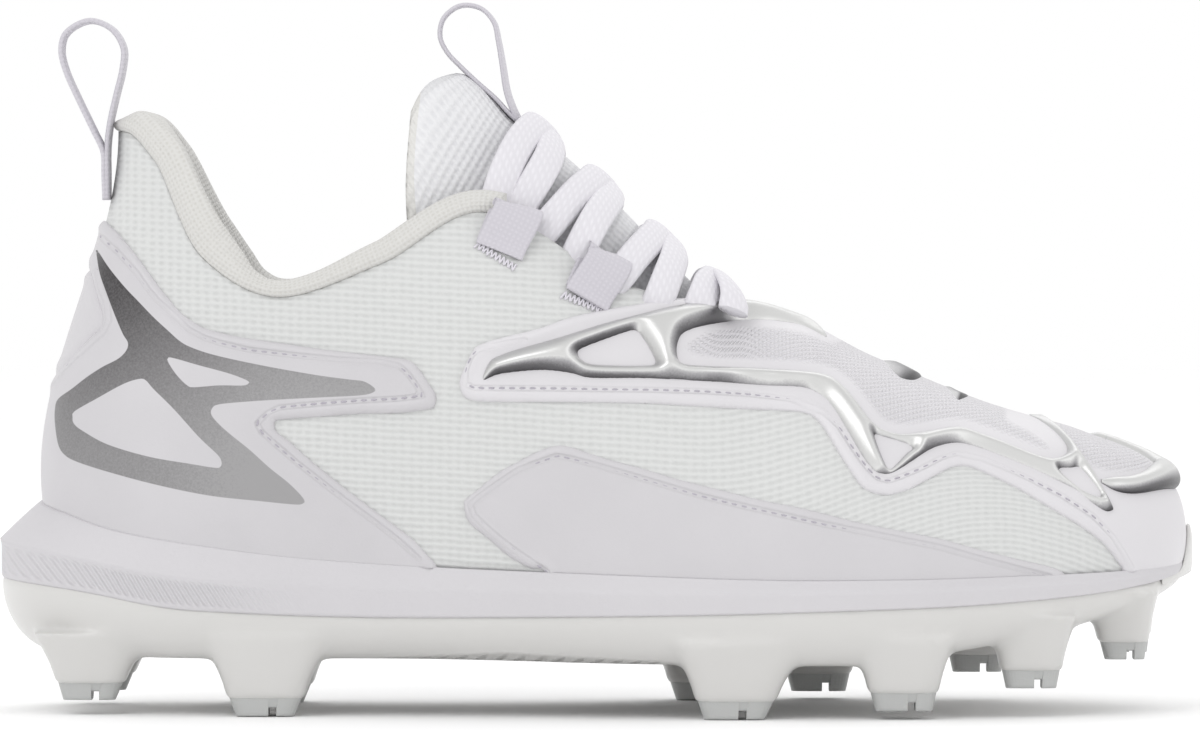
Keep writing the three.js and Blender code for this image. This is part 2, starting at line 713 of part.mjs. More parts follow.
// A band on the wall between two stations, whose lower and upper edges are shares of the wall.
function band(skin, side, list, low, high, inner, outer) {
  const rows = evenly(4, 0, 1);
  const sheet = (offset) => list.map((station, i) => {
    const wall = wallCurve(side, station, offset);
    const t = i / (list.length - 1);
    return rows.map((share) => wall.getPoint(mix(low(t), high(t), share)));
  });
  const sheets = [sheet(outer), sheet(inner)];
  if (side === medial) {
    sheets.forEach((one) => one.reverse());
  }
  const closed = list.at(-1) === 1;
  const start = side === lateral || !closed;
  const end = side === medial || !closed;
  skin.sheets(...sheets, { low: true, high: () => true, start, end });
}

const horseshoeAt = wallAt.filter((station) => station > stationOf(0.925));
const horseshoe = new Skin();
for (const side of [lateral, medial]) {
  band(horseshoe, side, horseshoeAt, (t) => mix(0.46, 0.40, t), (t) => mix(0.54, 0.80, t ** 2),
    frameBase, frameBase + frameWall);
}
place('silver_horseshoe', horseshoe.geometry(), colours.silver, 0.3, 0.9);

// The outsole's lip round the front of the toe, outside the midsole's edge.
const randAt = wallAt.filter((station) => station > stationOf(randStart));
const rand = new Skin();
for (const side of [lateral, medial]) {
  const sheet = (out) => randAt.map((station, i) => {
    const rim = rimPoint(side, station);
    const along = rim.x / shoeLength + 0.5;
    const fade = ease(0, 0.8, i / (randAt.length - 1));
    const seat = Math.max(marginAt(along), gap + overlayWall) + gap;
    rim.addScaledVector(outwardAt(side, station), seat + out * mix(0.4, 1, fade));
    const foot = partingAt(along) + gap;
    const head = mix(foot + randFoot, featherAt(along) + randRise * soleHeight, fade);
    return evenly(3, 0, 1).map((share) => vec(rim.x, rim.y, mix(foot, head, share)));
  });
  const sheets = [sheet(randThickness), sheet(0)];
  if (side === medial) {
    sheets.forEach((one) => one.reverse());
  }
  rand.sheets(...sheets, { low: true, high: () => true, start: side === lateral, end: side === medial });
}
place('toe_rand', rand.geometry(), colours.outsole, 0.35);

// The collar lining: a padded roll over the upper's edge, and its panel down the inside.
// Out is the distance outward from the wall's outer face and rise the height above its edge.

const collarAt = wallAt.filter((station) => station < throatRear + 1e-6);

function liningLoop(side, station) {
  const wall = wallCurve(side, station, 0);
  const edge = wall.getPoint(1);
  const direction = wall.getTangent(1);
  const out = outwardAt(side, station);
  const length = wall.getLength();
  const roll = curve(ROLL.along, ROLL.height, last('topAlong', station)) * liningThickness;
  const thick = liningThickness * mix(1, 0.28, ease(0.25, 0.36, last('topAlong', station)));
  const inside = upperWall + 2 * gap;
  const above = (outOf, rise) => edge.clone().addScaledVector(out, outOf).addScaledVector(direction, rise);
  const below = (outOf, drop) => {
    const share = 1 - drop / length;
    return wallCurve(side, station, outOf).getPoint(share);
  };
  return [
    above(-gap, gap), above(0, roll * 0.45), above(-0.25 * thick, roll * 0.85), above(-0.6 * inside, roll),
    above(-inside - thick * 0.75, roll * 0.7), above(-inside - thick, 0),
    below(-inside - thick, liningDrop * 0.25), below(-inside - thick * 0.6, liningDrop * 0.7),
    below(-inside - thick * 0.3, liningDrop), below(-inside, liningDrop),
    below(-inside, liningDrop * 0.5), below(-inside, gap), above(-inside, gap),
  ];
}

const lining = new Skin();
const liningLoops = [
  ...collarAt.slice().reverse().map((station) => liningLoop(lateral, station)),
  ...collarAt.slice(1).map((station) => liningLoop(medial, station)),
];
const loopSize = liningLoops[0].length;
for (let i = 0; i < liningLoops.length - 1; i += 1) {
  for (let j = 0; j < loopSize; j += 1) {
    const next = (j + 1) % loopSize;
    lining.quad(liningLoops[i][j], liningLoops[i + 1][j], liningLoops[i + 1][next], liningLoops[i][next]);
  }
}
for (const [loop, flip] of [[liningLoops[0], false], [liningLoops.at(-1), true]]) {
  const across = [[12, 0, 1, 2], [12, 2, 3, 4], [12, 4, 5, 11], [11, 5, 6, 10], [10, 6, 7, 8], [10, 8, 9]];
  for (const corners of across) {
    const points = corners.map((k) => loop[k]);
    const turned = flip ? points.reverse() : points;
    if (turned.length === 4) {
      lining.quad(...turned);
    } else {
      lining.triangle(...turned);
    }
  }
}
place('collar_lining', lining.geometry(), colours.lining, 0.9);

// Pull loops: a strap bent into a teardrop in the XZ plane. Each row is a point of its middle
// line from the sewn foot round and back, in shares of the loop's height.
const HEEL_LOOP = [
  [0.025, 0.0], [-0.045, 0.01], [-0.08, 0.11], [-0.14, 0.27], [-0.235, 0.48], [-0.31, 0.64], [-0.33, 0.78],
  [-0.27, 0.91], [-0.12, 0.98], [0.05, 0.94], [0.15, 0.82], [0.155, 0.66], [0.115, 0.46],
  [0.075, 0.28], [0.05, 0.12],
];
const TONGUE_LOOP = [
  [0.02, 0.0], [-0.06, 0.03], [-0.19, 0.22], [-0.29, 0.34], [-0.44, 0.46], [-0.57, 0.61], [-0.63, 0.76],
  [-0.54, 0.92], [-0.40, 0.97], [-0.22, 0.90], [-0.135, 0.70], [-0.07, 0.40], [-0.01, 0.16],
];
const heelLoopHeight = 27;
const tongueLoopHeight = 24;

function strapLoop(rows, foot, height, width) {
  const points = rows.map(([across, rise]) => vec(foot.x + across * height, 0, foot.z + rise * height));
  const middle = new THREE.CatmullRomCurve3(points, true, 'centripetal');
  const sections = evenly(22, 0, 1).slice(0, -1).map((t) => {
    const tangent = middle.getTangent(t);
    const point = middle.getPoint(t);
    const across = vec(-tangent.z, 0, tangent.x).multiplyScalar(webbingThickness / 2);
    const corner = (sign, y) => point.clone().addScaledVector(across, sign).add(vec(0, y, 0));
    return [corner(1, -width / 2), corner(1, width / 2), corner(-1, width / 2), corner(-1, -width / 2)];
  });
  const skin = new Skin();
  sections.forEach((section, i) => {
    const following = sections[(i + 1) % sections.length];
    for (let j = 0; j < section.length; j += 1) {
      const next = (j + 1) % section.length;
      skin.quad(section[j], section[next], following[next], following[j]);
    }
  });
  return skin.geometry();
}

const heelTop = topPoint(lateral, 0);
const heelFoot = vec(heelTop.x - webbingThickness - heelLoopInset, 0, heelTop.z - heelLoopDrop);
place('heel_pull_loop', strapLoop(HEEL_LOOP, heelFoot, heelLoopHeight, webbingWidth), colours.webbing, 0.8);

const tongueTop = tonguePoint(0.79, 0, 0);
const tongueFoot = vec(tongueTop.x, 0, tongueTop.z + webbingThickness + gap);
const tongueStrap = strapLoop(TONGUE_LOOP, tongueFoot, tongueLoopHeight, webbingWidth * 0.85);
place('tongue_pull_loop', tongueStrap, colours.webbing, 0.8);

// Lace loops of folded webbing on the throat's edge, two a side.
function stationOfTop(along) {
  let [low, high] = [0, 1];
  for (let i = 0; i < 40; i += 1) {
    const middle = (low + high) / 2;
    if (last('topAlong', middle) < along) {
      low = middle;
    } else {
      high = middle;
    }
  }
  return low;
}

const laceLoopAt = { upper: 0.431, lower: 0.502 };
for (const [sideName, side] of [['outer', lateral], ['inner', medial]]) {
  for (const [row, along] of Object.entries(laceLoopAt)) {
    const half = webbingWidth / 2 / shoeLength;
    const [rear, front] = [stationOfTop(along - half), stationOfTop(along + half)];
    const list = [rear, ...wallAt.filter((station) => station > rear && station < front), front];
    const skin = new Skin();
    band(skin, side, list, () => laceLoopFoot, () => laceLoopHead, 2 * gap, 2 * (gap + webbingThickness));
    place(`lace_loop_${row}_${sideName}`, skin.geometry(), colours.webbing, 0.8);
  }
}

// Lace crossings, each one solid: flat strips that lie over the tongue from side to side.
function laceStrip(from, to, across, lift) {
  const steps = 9;
  const sheet = (height) => evenly(steps, 0, 1).map((t) => {
    const part = mix(from, to, t);
    const at = mix(-across, across, t);
    const small = 0.01;
    const point = tonguePoint(part, at, 0);
    const alongway = tonguePoint(part + small, at, 0).sub(tonguePoint(part - small, at, 0)).normalize();
    const sideways = tonguePoint(part, at + small, 0).sub(tonguePoint(part, at - small, 0)).normalize();
    const normal = sideways.clone().cross(alongway).normalize();
    if (normal.z < 0) {
      normal.negate();
    }
    const hump = Math.sin(Math.PI * t) * lift;
    point.addScaledVector(normal, 2 * gap + hump + height);
    return [-0.5, 0, 0.5].map((share) => point.clone()
      .addScaledVector(alongway, share * laceWidth)
      .addScaledVector(normal, share === 0 ? laceThickness * 0.2 : 0));
  });
  const skin = new Skin();
  skin.sheets(sheet(laceThickness), sheet(0), { low: true, high: () => true, start: true, end: true });
  return solidOf(skin.geometry());
}

const CROSSINGS = table(
  ['low', 'high', 'across', 'lift'],
  [
    [0.29, 0.29, 0.24, 0.8],
    [0.40, 0.44, 0.46, 1.6],
    [0.54, 0.58, 0.54, 1.8],
    [0.69, 0.72, 0.62, 1.8],
  ],
);
CROSSINGS.low.forEach((low, row) => {
  const crossing = (column) => CROSSINGS[column][row];
  const first = laceStrip(low, crossing('high'), crossing('across'), crossing('lift'));
  const over = crossing('lift') + laceThickness * 0.6;
  const second = laceStrip(crossing('high'), low, crossing('across'), over);
  place(`lace_crossing_${row + 1}`, geometryOf(first.add(second)), colours.lace, 0.8);
});

export default cleat;
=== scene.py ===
# %% [markdown]
# A moulded baseball cleat, one right shoe, standing empty on its studs.
# White knit, smooth film overlays, satin silver trim, a foam midsole and a glossy moulded plate.
# Almost every piece of a shoe follows one form, the last that it was made on. So this lesson first writes
# the last as a function of two parameters, and then grows the upper, its overlays and its trim from it.
# Lengths in the functions are millimetres, and turn to metres as they enter a mesh.

# %% Load the fixed frame
import bmesh
import bpy
import numpy as np
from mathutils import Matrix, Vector


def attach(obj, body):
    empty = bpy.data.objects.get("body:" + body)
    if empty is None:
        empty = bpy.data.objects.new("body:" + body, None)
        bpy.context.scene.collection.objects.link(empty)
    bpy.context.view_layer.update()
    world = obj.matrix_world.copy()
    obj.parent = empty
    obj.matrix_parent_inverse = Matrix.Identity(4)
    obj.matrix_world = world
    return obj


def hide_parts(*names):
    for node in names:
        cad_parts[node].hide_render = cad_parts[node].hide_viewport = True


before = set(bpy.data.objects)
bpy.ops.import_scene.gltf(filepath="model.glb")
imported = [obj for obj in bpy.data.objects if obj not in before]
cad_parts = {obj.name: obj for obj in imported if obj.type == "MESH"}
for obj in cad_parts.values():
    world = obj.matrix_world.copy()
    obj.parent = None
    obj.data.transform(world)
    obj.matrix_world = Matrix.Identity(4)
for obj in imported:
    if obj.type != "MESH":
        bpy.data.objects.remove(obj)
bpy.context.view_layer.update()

MM = 0.001

# %% [markdown]
# The camera comes first, because outlines are read from the photo and need its view. The photo is a long
# lens look at the outer side. The camera stands 98 mm above the floor: it looks a little down on the studs
# and level across the collar, so the far side of the collar hides behind the near one. One pixel covers
# 0.206 mm at the shoe's middle plane. photo_place and from_photo turn points of the shoe into pixels and
# back, so every outline below can be written in the photo's own pixels.

# %% The camera and the photo's view
PHOTO_WIDTH, PHOTO_HEIGHT = 1200, 747
PIXEL = 0.206
DISTANCE = 1600.0
CAMERA_HEIGHT = 98.0
MIDDLE_HEIGHT = 69.1
ELEVATION = np.arcsin((CAMERA_HEIGHT - MIDDLE_HEIGHT) / DISTANCE)
SENSOR = 36.0

camera_data = bpy.data.cameras.new("camera")
camera_data.sensor_width = SENSOR
camera_data.lens = SENSOR * DISTANCE / (PHOTO_WIDTH * PIXEL)
camera_data.clip_end = 20
camera = bpy.data.objects.new("camera", camera_data)
bpy.context.collection.objects.link(camera)
camera.location = (0, -DISTANCE * np.cos(ELEVATION) * MM,
                   (MIDDLE_HEIGHT + DISTANCE * np.sin(ELEVATION)) * MM)
camera.rotation_euler = (np.pi / 2 - ELEVATION, 0, 0)
bpy.context.scene.camera = camera
bpy.context.scene.view_settings.view_transform = "Standard"


def photo_place(points):
    """Pixels of points: the offset across and up the view, over the depth along it, times the distance."""
    above = points[..., 2] - MIDDLE_HEIGHT
    depth = DISTANCE + points[..., 1] * np.cos(ELEVATION) - above * np.sin(ELEVATION)
    rise = above * np.cos(ELEVATION) + points[..., 1] * np.sin(ELEVATION)
    scale = DISTANCE / depth / PIXEL
    return np.stack([PHOTO_WIDTH / 2 + points[..., 0] * scale, PHOTO_HEIGHT / 2 - rise * scale], axis=-1)


def from_photo(column, row, across):
    """The point seen at a pixel that lies a given way across the shoe: photo_place solved for x and z."""
    column, row, across = np.broadcast_arrays(*[np.asarray(value, float) for value in (column, row,
        across)])
    up = (PHOTO_HEIGHT / 2 - row) * PIXEL / DISTANCE
    depth_flat = DISTANCE + across * np.cos(ELEVATION)
    sine, cosine = np.sin(ELEVATION), np.cos(ELEVATION)
    above = (up * depth_flat - across * sine) / (cosine + up * sine)
    depth = depth_flat - above * sine
    return np.stack([(column - PHOTO_WIDTH / 2) * PIXEL * depth / DISTANCE, across, above + MIDDLE_HEIGHT],
                    axis=-1)


print("camera lens in mm:", round(camera_data.lens, 1))

# %% [markdown]
# The last is a table of sections from heel to toe, the same that the CAD model uses. Each gives the half
# widths at the feather line, where the upper meets the sole, and at the top edge, with the heights of both.
# A station runs from 0 at the heel to 1 at the toe like the angle round an ellipse, so sections crowd
# together at both round ends. Between two sections every column runs on a monotone cubic, which never
# swings past the values it joins, so the shoe gets no bumps that nobody drew.

# %% The last's sizes and tables
SHOE_LENGTH, BALL_WIDTH, HEEL_WIDTH = 246.0, 84.0, 58.0
COLLAR_HEIGHT, INSTEP_HEIGHT, SOLE_HEIGHT = 119.0, 83.0, 43.0
UPPER_WALL, FLARE, GAP = 2.2, 0.12, 0.3
LATERAL, MEDIAL = -1, 1

LAST_COLUMNS = ["along", "lateral", "medial", "feather", "top_along", "top_lateral", "top_medial",
                "top_height", "bulge", "shoulder", "lean"]
LAST_ROWS = [
    [0.037, 0.00, 0.00, 1.00, 0.097, 0.00, 0.00, 1.00, 0.34, 0.34, 0.00],
    [0.056, 0.53, 0.53, 0.955, 0.108, 0.28, 0.28, 0.995, 0.34, 0.34, 0.00],
    [0.104, 0.84, 0.84, 0.868, 0.131, 0.52, 0.52, 0.945, 0.34, 0.34, 0.00],
    [0.180, 0.98, 0.97, 0.797, 0.171, 0.78, 0.76, 0.782, 0.34, 0.34, 0.02],
    [0.266, 1.00, 0.94, 0.741, 0.236, 0.90, 0.86, 0.714, 0.34, 0.34, 0.04],
    [0.362, 0.99, 0.85, 0.706, 0.321, 0.87, 0.83, 0.772, 0.34, 0.34, 0.10],
    [0.448, 0.97, 0.77, 0.687, 0.401, 0.76, 0.74, 0.859, 0.34, 0.32, 0.26],
    [0.535, 0.96, 0.81, 0.670, 0.486, 0.61, 0.59, 0.856, 0.32, 0.30, 0.42],
    [0.611, 0.98, 0.905, 0.657, 0.575, 0.42, 0.40, 0.961, 0.32, 0.28, 0.62],
    [0.668, 1.00, 0.965, 0.652, 0.624, 0.00, 0.00, 1.00, 0.32, 0.30, 1.00],
    [0.754, 0.965, 1.00, 0.655, 0.728, 0.00, 0.00, 0.865, 0.32, 0.32, 1.00],
    [0.850, 0.82, 0.94, 0.668, 0.829, 0.00, 0.00, 0.745, 0.34, 0.36, 1.00],
    [0.927, 0.57, 0.75, 0.68, 0.894, 0.00, 0.00, 0.69, 0.36, 0.42, 1.00],
    [0.975, 0.24, 0.48, 0.70, 0.915, 0.00, 0.00, 0.667, 0.42, 0.45, 1.00],
    [0.988, -0.17, 0.17, 0.73, 0.922, 0.00, 0.00, 0.66, 0.45, 0.45, 1.00],
]
LAST = {name: np.array([row[i] for row in LAST_ROWS]) for i, name in enumerate(LAST_COLUMNS)}
HEEL_END, TOE_END = LAST["along"][0], LAST["along"][-1]
THROAT_FRONT_ALONG, THROAT_REAR_ALONG = 0.668, 0.448


def curve(knots, values, at):
    """Monotone cubic Hermite: each knot's slope is the harmonic mean of the slopes on its two sides."""
    knots, values = np.asarray(knots, float), np.asarray(values, float)
    at = np.clip(at, knots[0], knots[-1])
    rise = np.diff(values) / np.diff(knots)
    agree = rise[:-1] * rise[1:] > 0
    total = np.where(agree, rise[:-1] + rise[1:], 1.0)
    inner = np.where(agree, 2 * rise[:-1] * rise[1:] / total, 0.0)
    slope = np.concatenate([rise[:1], inner, rise[-1:]])
    i = np.clip(np.searchsorted(knots, at, side="right") - 1, 0, len(knots) - 2)
    step = knots[i + 1] - knots[i]
    t = (at - knots[i]) / step
    h = t * t * (3 - 2 * t)
    bend = slope[i] * t * (1 - t) ** 2 - slope[i + 1] * t * t * (1 - t)
    return values[i] * (1 - h) + values[i + 1] * h + step * bend


def mix(start, end, share):
    """Straight blend from start to end."""
    return start + (end - start) * share


def ease(low, high, at):
    """Smooth step from 0 at low to 1 at high: 3t^2 - 2t^3."""
    t = np.clip((at - low) / (high - low), 0, 1)
    return t * t * (3 - 2 * t)


def unit(vectors):
    """Vectors over their own lengths."""
    return vectors / np.maximum(np.linalg.norm(vectors, axis=-1, keepdims=True), 1e-9)


def x_at(along):
    """X of a share of the shoe's length, 0 in the middle of the shoe."""
    return (along - 0.5) * SHOE_LENGTH


def half_width_at(along):
    """Half the local width, which eases from the heel's to the ball's."""
    return mix(HEEL_WIDTH, BALL_WIDTH, ease(0.27, 0.62, along)) / 2


def height_at(along):
    """The local height, which eases from the collar's to the instep's."""
    return mix(COLLAR_HEIGHT, INSTEP_HEIGHT, ease(0.401, 0.624, along))


def station_of(along):
    """Station of a share of the length: the arccosine that makes equal angles equal steps."""
    return np.arccos(np.clip(1 - 2 * (along - HEEL_END) / (TOE_END - HEEL_END), -1, 1)) / np.pi


def along_of(station):
    """Share of the length of a station, the inverse of station_of."""
    return HEEL_END + (TOE_END - HEEL_END) * (1 - np.cos(np.pi * station)) / 2


LAST_STATIONS = station_of(LAST["along"])
THROAT_FRONT, THROAT_REAR = station_of(THROAT_FRONT_ALONG), station_of(THROAT_REAR_ALONG)


def last(column, station):
    """One column of the last at any station."""
    return curve(LAST_STATIONS, LAST[column], station)


print("throat runs from station", round(float(THROAT_REAR), 3), "to", round(float(THROAT_FRONT), 3))

# %% [markdown]
# The upper's wall is one smooth curve at each station, from the feather line up to the top edge. A cubic
# Bezier does this well: its two inner handles say how far the wall rises straight before it turns in, and
# how flat it comes in at the top. At the collar the wall ends upright, and over the toes it ends lying
# flat, so that the outer and inner side meet in one smooth ridge. The whole shoe is this one function.

# %% The wall of the upper as a function
def rim_point(side, station):
    """Feather line: half-width across and feather height up, at the station's place along."""
    along = along_of(station)
    width = last("lateral" if side == LATERAL else "medial", station)
    return np.stack([x_at(along), side * width * half_width_at(along),
                     last("feather", station) * SOLE_HEIGHT],
                    axis=-1)


def top_point(side, station):
    """Top edge: collar and throat edge, and the ridge over the toes."""
    along = last("top_along", station)
    width = last("top_lateral" if side == LATERAL else "top_medial", station)
    height = last("top_height", station) * height_at(along)
    return np.stack([x_at(along), side * width * half_width_at(along), height], axis=-1)


def outward_at(side, station):
    """Plan normal of the feather line: its direction turned a quarter, and straight out at both ends."""
    run = rim_point(side, np.minimum(station + 0.004, 1)) - rim_point(side, np.maximum(station - 0.004, 0))
    out = unit(np.stack([-side * run[..., 1], side * run[..., 0], np.zeros_like(run[..., 0])], axis=-1))
    ends = np.where(station <= 0, -1.0, 1.0)[..., None] * np.array([1.0, 0, 0])
    return np.where(((station <= 0) | (station >= 1))[..., None], ends, out)


def wall(side, station, share):
    """Cubic Bezier from rim to top. Its handles leave the rim nearly upright, and reach the top along the
    wall's own lean, each by a share of the straight distance."""
    station, share = np.broadcast_arrays(np.asarray(station, float), np.asarray(share, float))
    rim, top, out = rim_point(side, station), top_point(side, station), outward_at(side, station)
    reach = np.linalg.norm(top - rim, axis=-1)[..., None]
    after, before = top_point(side, np.minimum(station + 0.01, 1)), top_point(side,
        np.maximum(station - 0.01, 0))
    lean = last("lean", station)
    run = np.maximum(after[..., 0] - before[..., 0], 0.01)
    slope = (after[..., 2] - before[..., 2]) / run * lean ** 2
    angle = (lean * np.pi / 2)[..., None]
    up = np.array([0.0, 0, 1])
    flat = unit(out + up * (slope * out[..., 0])[..., None])
    down = flat * np.sin(angle) - up * np.cos(angle)
    rise = unit(up + out * FLARE)
    low = rim + rise * last("bulge", station)[..., None] * reach
    high = top + down * last("shoulder", station)[..., None] * reach
    t = share[..., None]
    return (1 - t) ** 3 * rim + 3 * (1 - t) ** 2 * t * low + 3 * (1 - t) * t * t * high + t ** 3 * top


def wall_normal(side, station, share):
    """Outward normal: the cross product of small steps along the shoe and up the wall."""
    small = 0.004
    station, share = np.broadcast_arrays(np.asarray(station, float), np.asarray(share, float))
    low, high = np.clip(station - small, 0, 1), np.clip(station + small, 0, 1)
    along = wall(side, high, share) - wall(side, low, share)
    upward = wall(side, station, share + small) - wall(side, station, share - small)
    normal = unit(np.cross(along, upward) * -side)
    on_seam = (station <= 0) | (station >= 1) | ((share >= 1) & (station >= THROAT_FRONT))
    normal[..., 1] = np.where(on_seam, 0, normal[..., 1])
    return unit(normal)


# %% [markdown]
# A worn-in last still shows a few soft forms that no table of widths holds: the shallow flex lines where
# the toes bend, the dip under the ankle and the fullness of the padded collar. They are listed as long
# soft hollows and ridges a few tenths of a millimetre to a millimetre deep.

# %% Soft troughs and ridges, and the finished skin
# Columns: along, up, turn, length, width, depth.
CREASE_ROWS = [
    [0.235, 0.80, 10, 34, 7.0, -0.7],
    [0.300, 0.52, 4, 40, 9.0, 0.6],
    [0.345, 0.88, -12, 26, 5.0, 0.5],
    [0.415, 0.55, 62, 22, 5.0, -0.7],
    [0.450, 0.72, 50, 20, 5.0, 0.5],
    [0.560, 0.52, -8, 30, 6.0, -0.5],
    [0.690, 0.86, 76, 14, 3.5, -0.35],
    [0.725, 0.80, 80, 16, 3.5, -0.35],
]


def creases(station, share):
    """Height of the soft forms: for each, a bell across it times a bell along it, in millimetres."""
    place_x = x_at(along_of(station))
    place_z = share * 62.0
    total = np.zeros(np.broadcast(station, share).shape)
    for along, up, turn, length, width, depth in CREASE_ROWS:
        right, rise = place_x - x_at(along), place_z - up * 62.0
        c, s = np.cos(np.radians(turn)), np.sin(np.radians(turn))
        total = total + depth * np.exp(-((right * c + rise * s) / length * 1.6) ** 2
                                       - ((rise * c - right * s) / width) ** 2)
    return total * ease(0, 0.10, share) * (1 - ease(0.9, 1.0, share))


def skin(side, station, share, lift=0.0):
    """The finished upper: the wall moved along its normal by its soft forms and by a lift."""
    base = wall(side, station, share)
    return base + wall_normal(side, station, share) * (creases(station, share) + lift)[..., None]


# %% [markdown]
# Every mesh goes in by whole arrays: foreach_set copies a numpy array straight into Blender, which is fast
# and keeps the script free of loops over vertices. Values that a material needs, such as the distance to
# an edge, travel with the mesh as attributes, and a UV map in centimetres of real surface gives woven
# patterns their true scale.

# %% Helpers that make meshes
def grid_faces(rows, columns, flip=False):
    """Quads of a grid of rows times columns points, facing out on the outer side unless flipped."""
    index = np.arange(rows * columns).reshape(rows, columns)
    faces = np.stack([index[:-1, :-1], index[1:, :-1], index[1:, 1:], index[:-1, 1:]], axis=-1).reshape(-1,
        4)
    return faces[:, ::-1] if flip else faces


def make_piece(name, points, faces, material, uv=None, masks=None, merge=0.0):
    """A mesh from points in millimetres and an array of faces, that rides on the shoe's one body."""
    mesh = bpy.data.meshes.new(name)
    face_lists = faces if isinstance(faces, list) else [faces]
    corners = np.concatenate([part.ravel() for part in face_lists])
    counts = np.concatenate([np.full(len(part), part.shape[1]) for part in face_lists])
    mesh.vertices.add(len(points))
    mesh.vertices.foreach_set("co", (points * MM).ravel())
    mesh.loops.add(len(corners))
    mesh.loops.foreach_set("vertex_index", corners.astype(np.int32))
    mesh.polygons.add(len(counts))
    mesh.polygons.foreach_set("loop_start", np.concatenate([[0], np.cumsum(counts)[:-1]]).astype(np.int32))
    mesh.update(calc_edges=True)
    if uv is not None:
        mesh.uv_layers.new(name="surface").data.foreach_set("uv", uv[corners].ravel())
    for mask, values in (masks or {}).items():
        mesh.attributes.new(mask, "FLOAT", "POINT").data.foreach_set("value", values.ravel())
    mesh.polygons.foreach_set("use_smooth", np.ones(len(counts), bool))
    mesh.materials.append(material)
    if merge:
        work = bmesh.new()
        work.from_mesh(mesh)
        bmesh.ops.remove_doubles(work, verts=work.verts, dist=merge * MM)
        work.to_mesh(mesh)
        work.free()
    piece = bpy.data.objects.new(name, mesh)
    bpy.context.collection.objects.link(piece)
    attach(piece, "root")
    print(name, "faces:", len(mesh.polygons))
    return piece


def join_parts(parts):
    """Several (points, faces) pairs as one pair: each part's faces count on from the points before it."""
    offset, points, faces = 0, [], []
    for part_points, part_faces in parts:
        flat = part_points.reshape(-1, 3)
        points.append(flat)
        faces.append(part_faces + offset)
        offset += len(flat)
    return np.concatenate(points), np.concatenate(faces)


# %% [markdown]
# Materials share one small function that adds a node with its settings and links. Colours are written as
# the sRGB hex values that a colour picker shows, and one function turns them into the linear light values
# that the shader works in.

# %% Helpers that make materials
def linear(code):
    """Linear RGBA of an sRGB hex colour: the sRGB curve undone, channel by channel."""
    channel = np.array([int(code[i:i + 2], 16) for i in (1, 3, 5)]) / 255
    value = np.where(channel <= 0.04045, channel / 12.92, ((channel + 0.055) / 1.055) ** 2.4)
    return (*[float(v) for v in value], 1.0)


def add_node(material, kind, inputs=None, **settings):
    """One node with its own settings. An input that is given a socket is linked, any other value is set."""
    tree = material.node_tree
    node = tree.nodes.new(kind)
    for name, value in settings.items():
        setattr(node, name, value)
    for name, value in (inputs or {}).items():
        if isinstance(value, bpy.types.NodeSocket):
            tree.links.new(value, node.inputs[name])
        else:
            node.inputs[name].default_value = value
    return node


def new_material(name, inputs):
    """A material whose surface shader has the given inputs, returned with that shader."""
    material = bpy.data.materials.new(name)
    material.use_nodes = True
    shader = material.node_tree.nodes["Principled BSDF"]
    for key, value in inputs.items():
        shader.inputs[key].default_value = value
    return material, shader


def link(material, source, node, name):
    """Links an output socket to a named input."""
    material.node_tree.links.new(source, node.inputs[name])


def surface_wave(material, across, along, turn=0.0):
    """Centimetre coordinates of the surface UV, stretched so that one unit is one thread each way."""
    uv = add_node(material, "ShaderNodeUVMap", uv_map="surface")
    return add_node(material, "ShaderNodeMapping", {
        "Vector": uv.outputs["UV"], "Scale": (along, across, 1), "Rotation": (0, 0, turn)})

# %% [markdown]
# The knit is a dense white polyester textile, heat-set over the last. Its yarn runs in raised horizontal
# ribs a little over a millimetre apart, and round the heel it turns into a squarer grid. A rib is far too
# fine to model over the whole shoe, so it is bump: a wave up the wall, broken by a finer wave along it,
# with noise so that no two ribs are quite alike. Textile scatters light softly, which high roughness and
# a little sheen give.

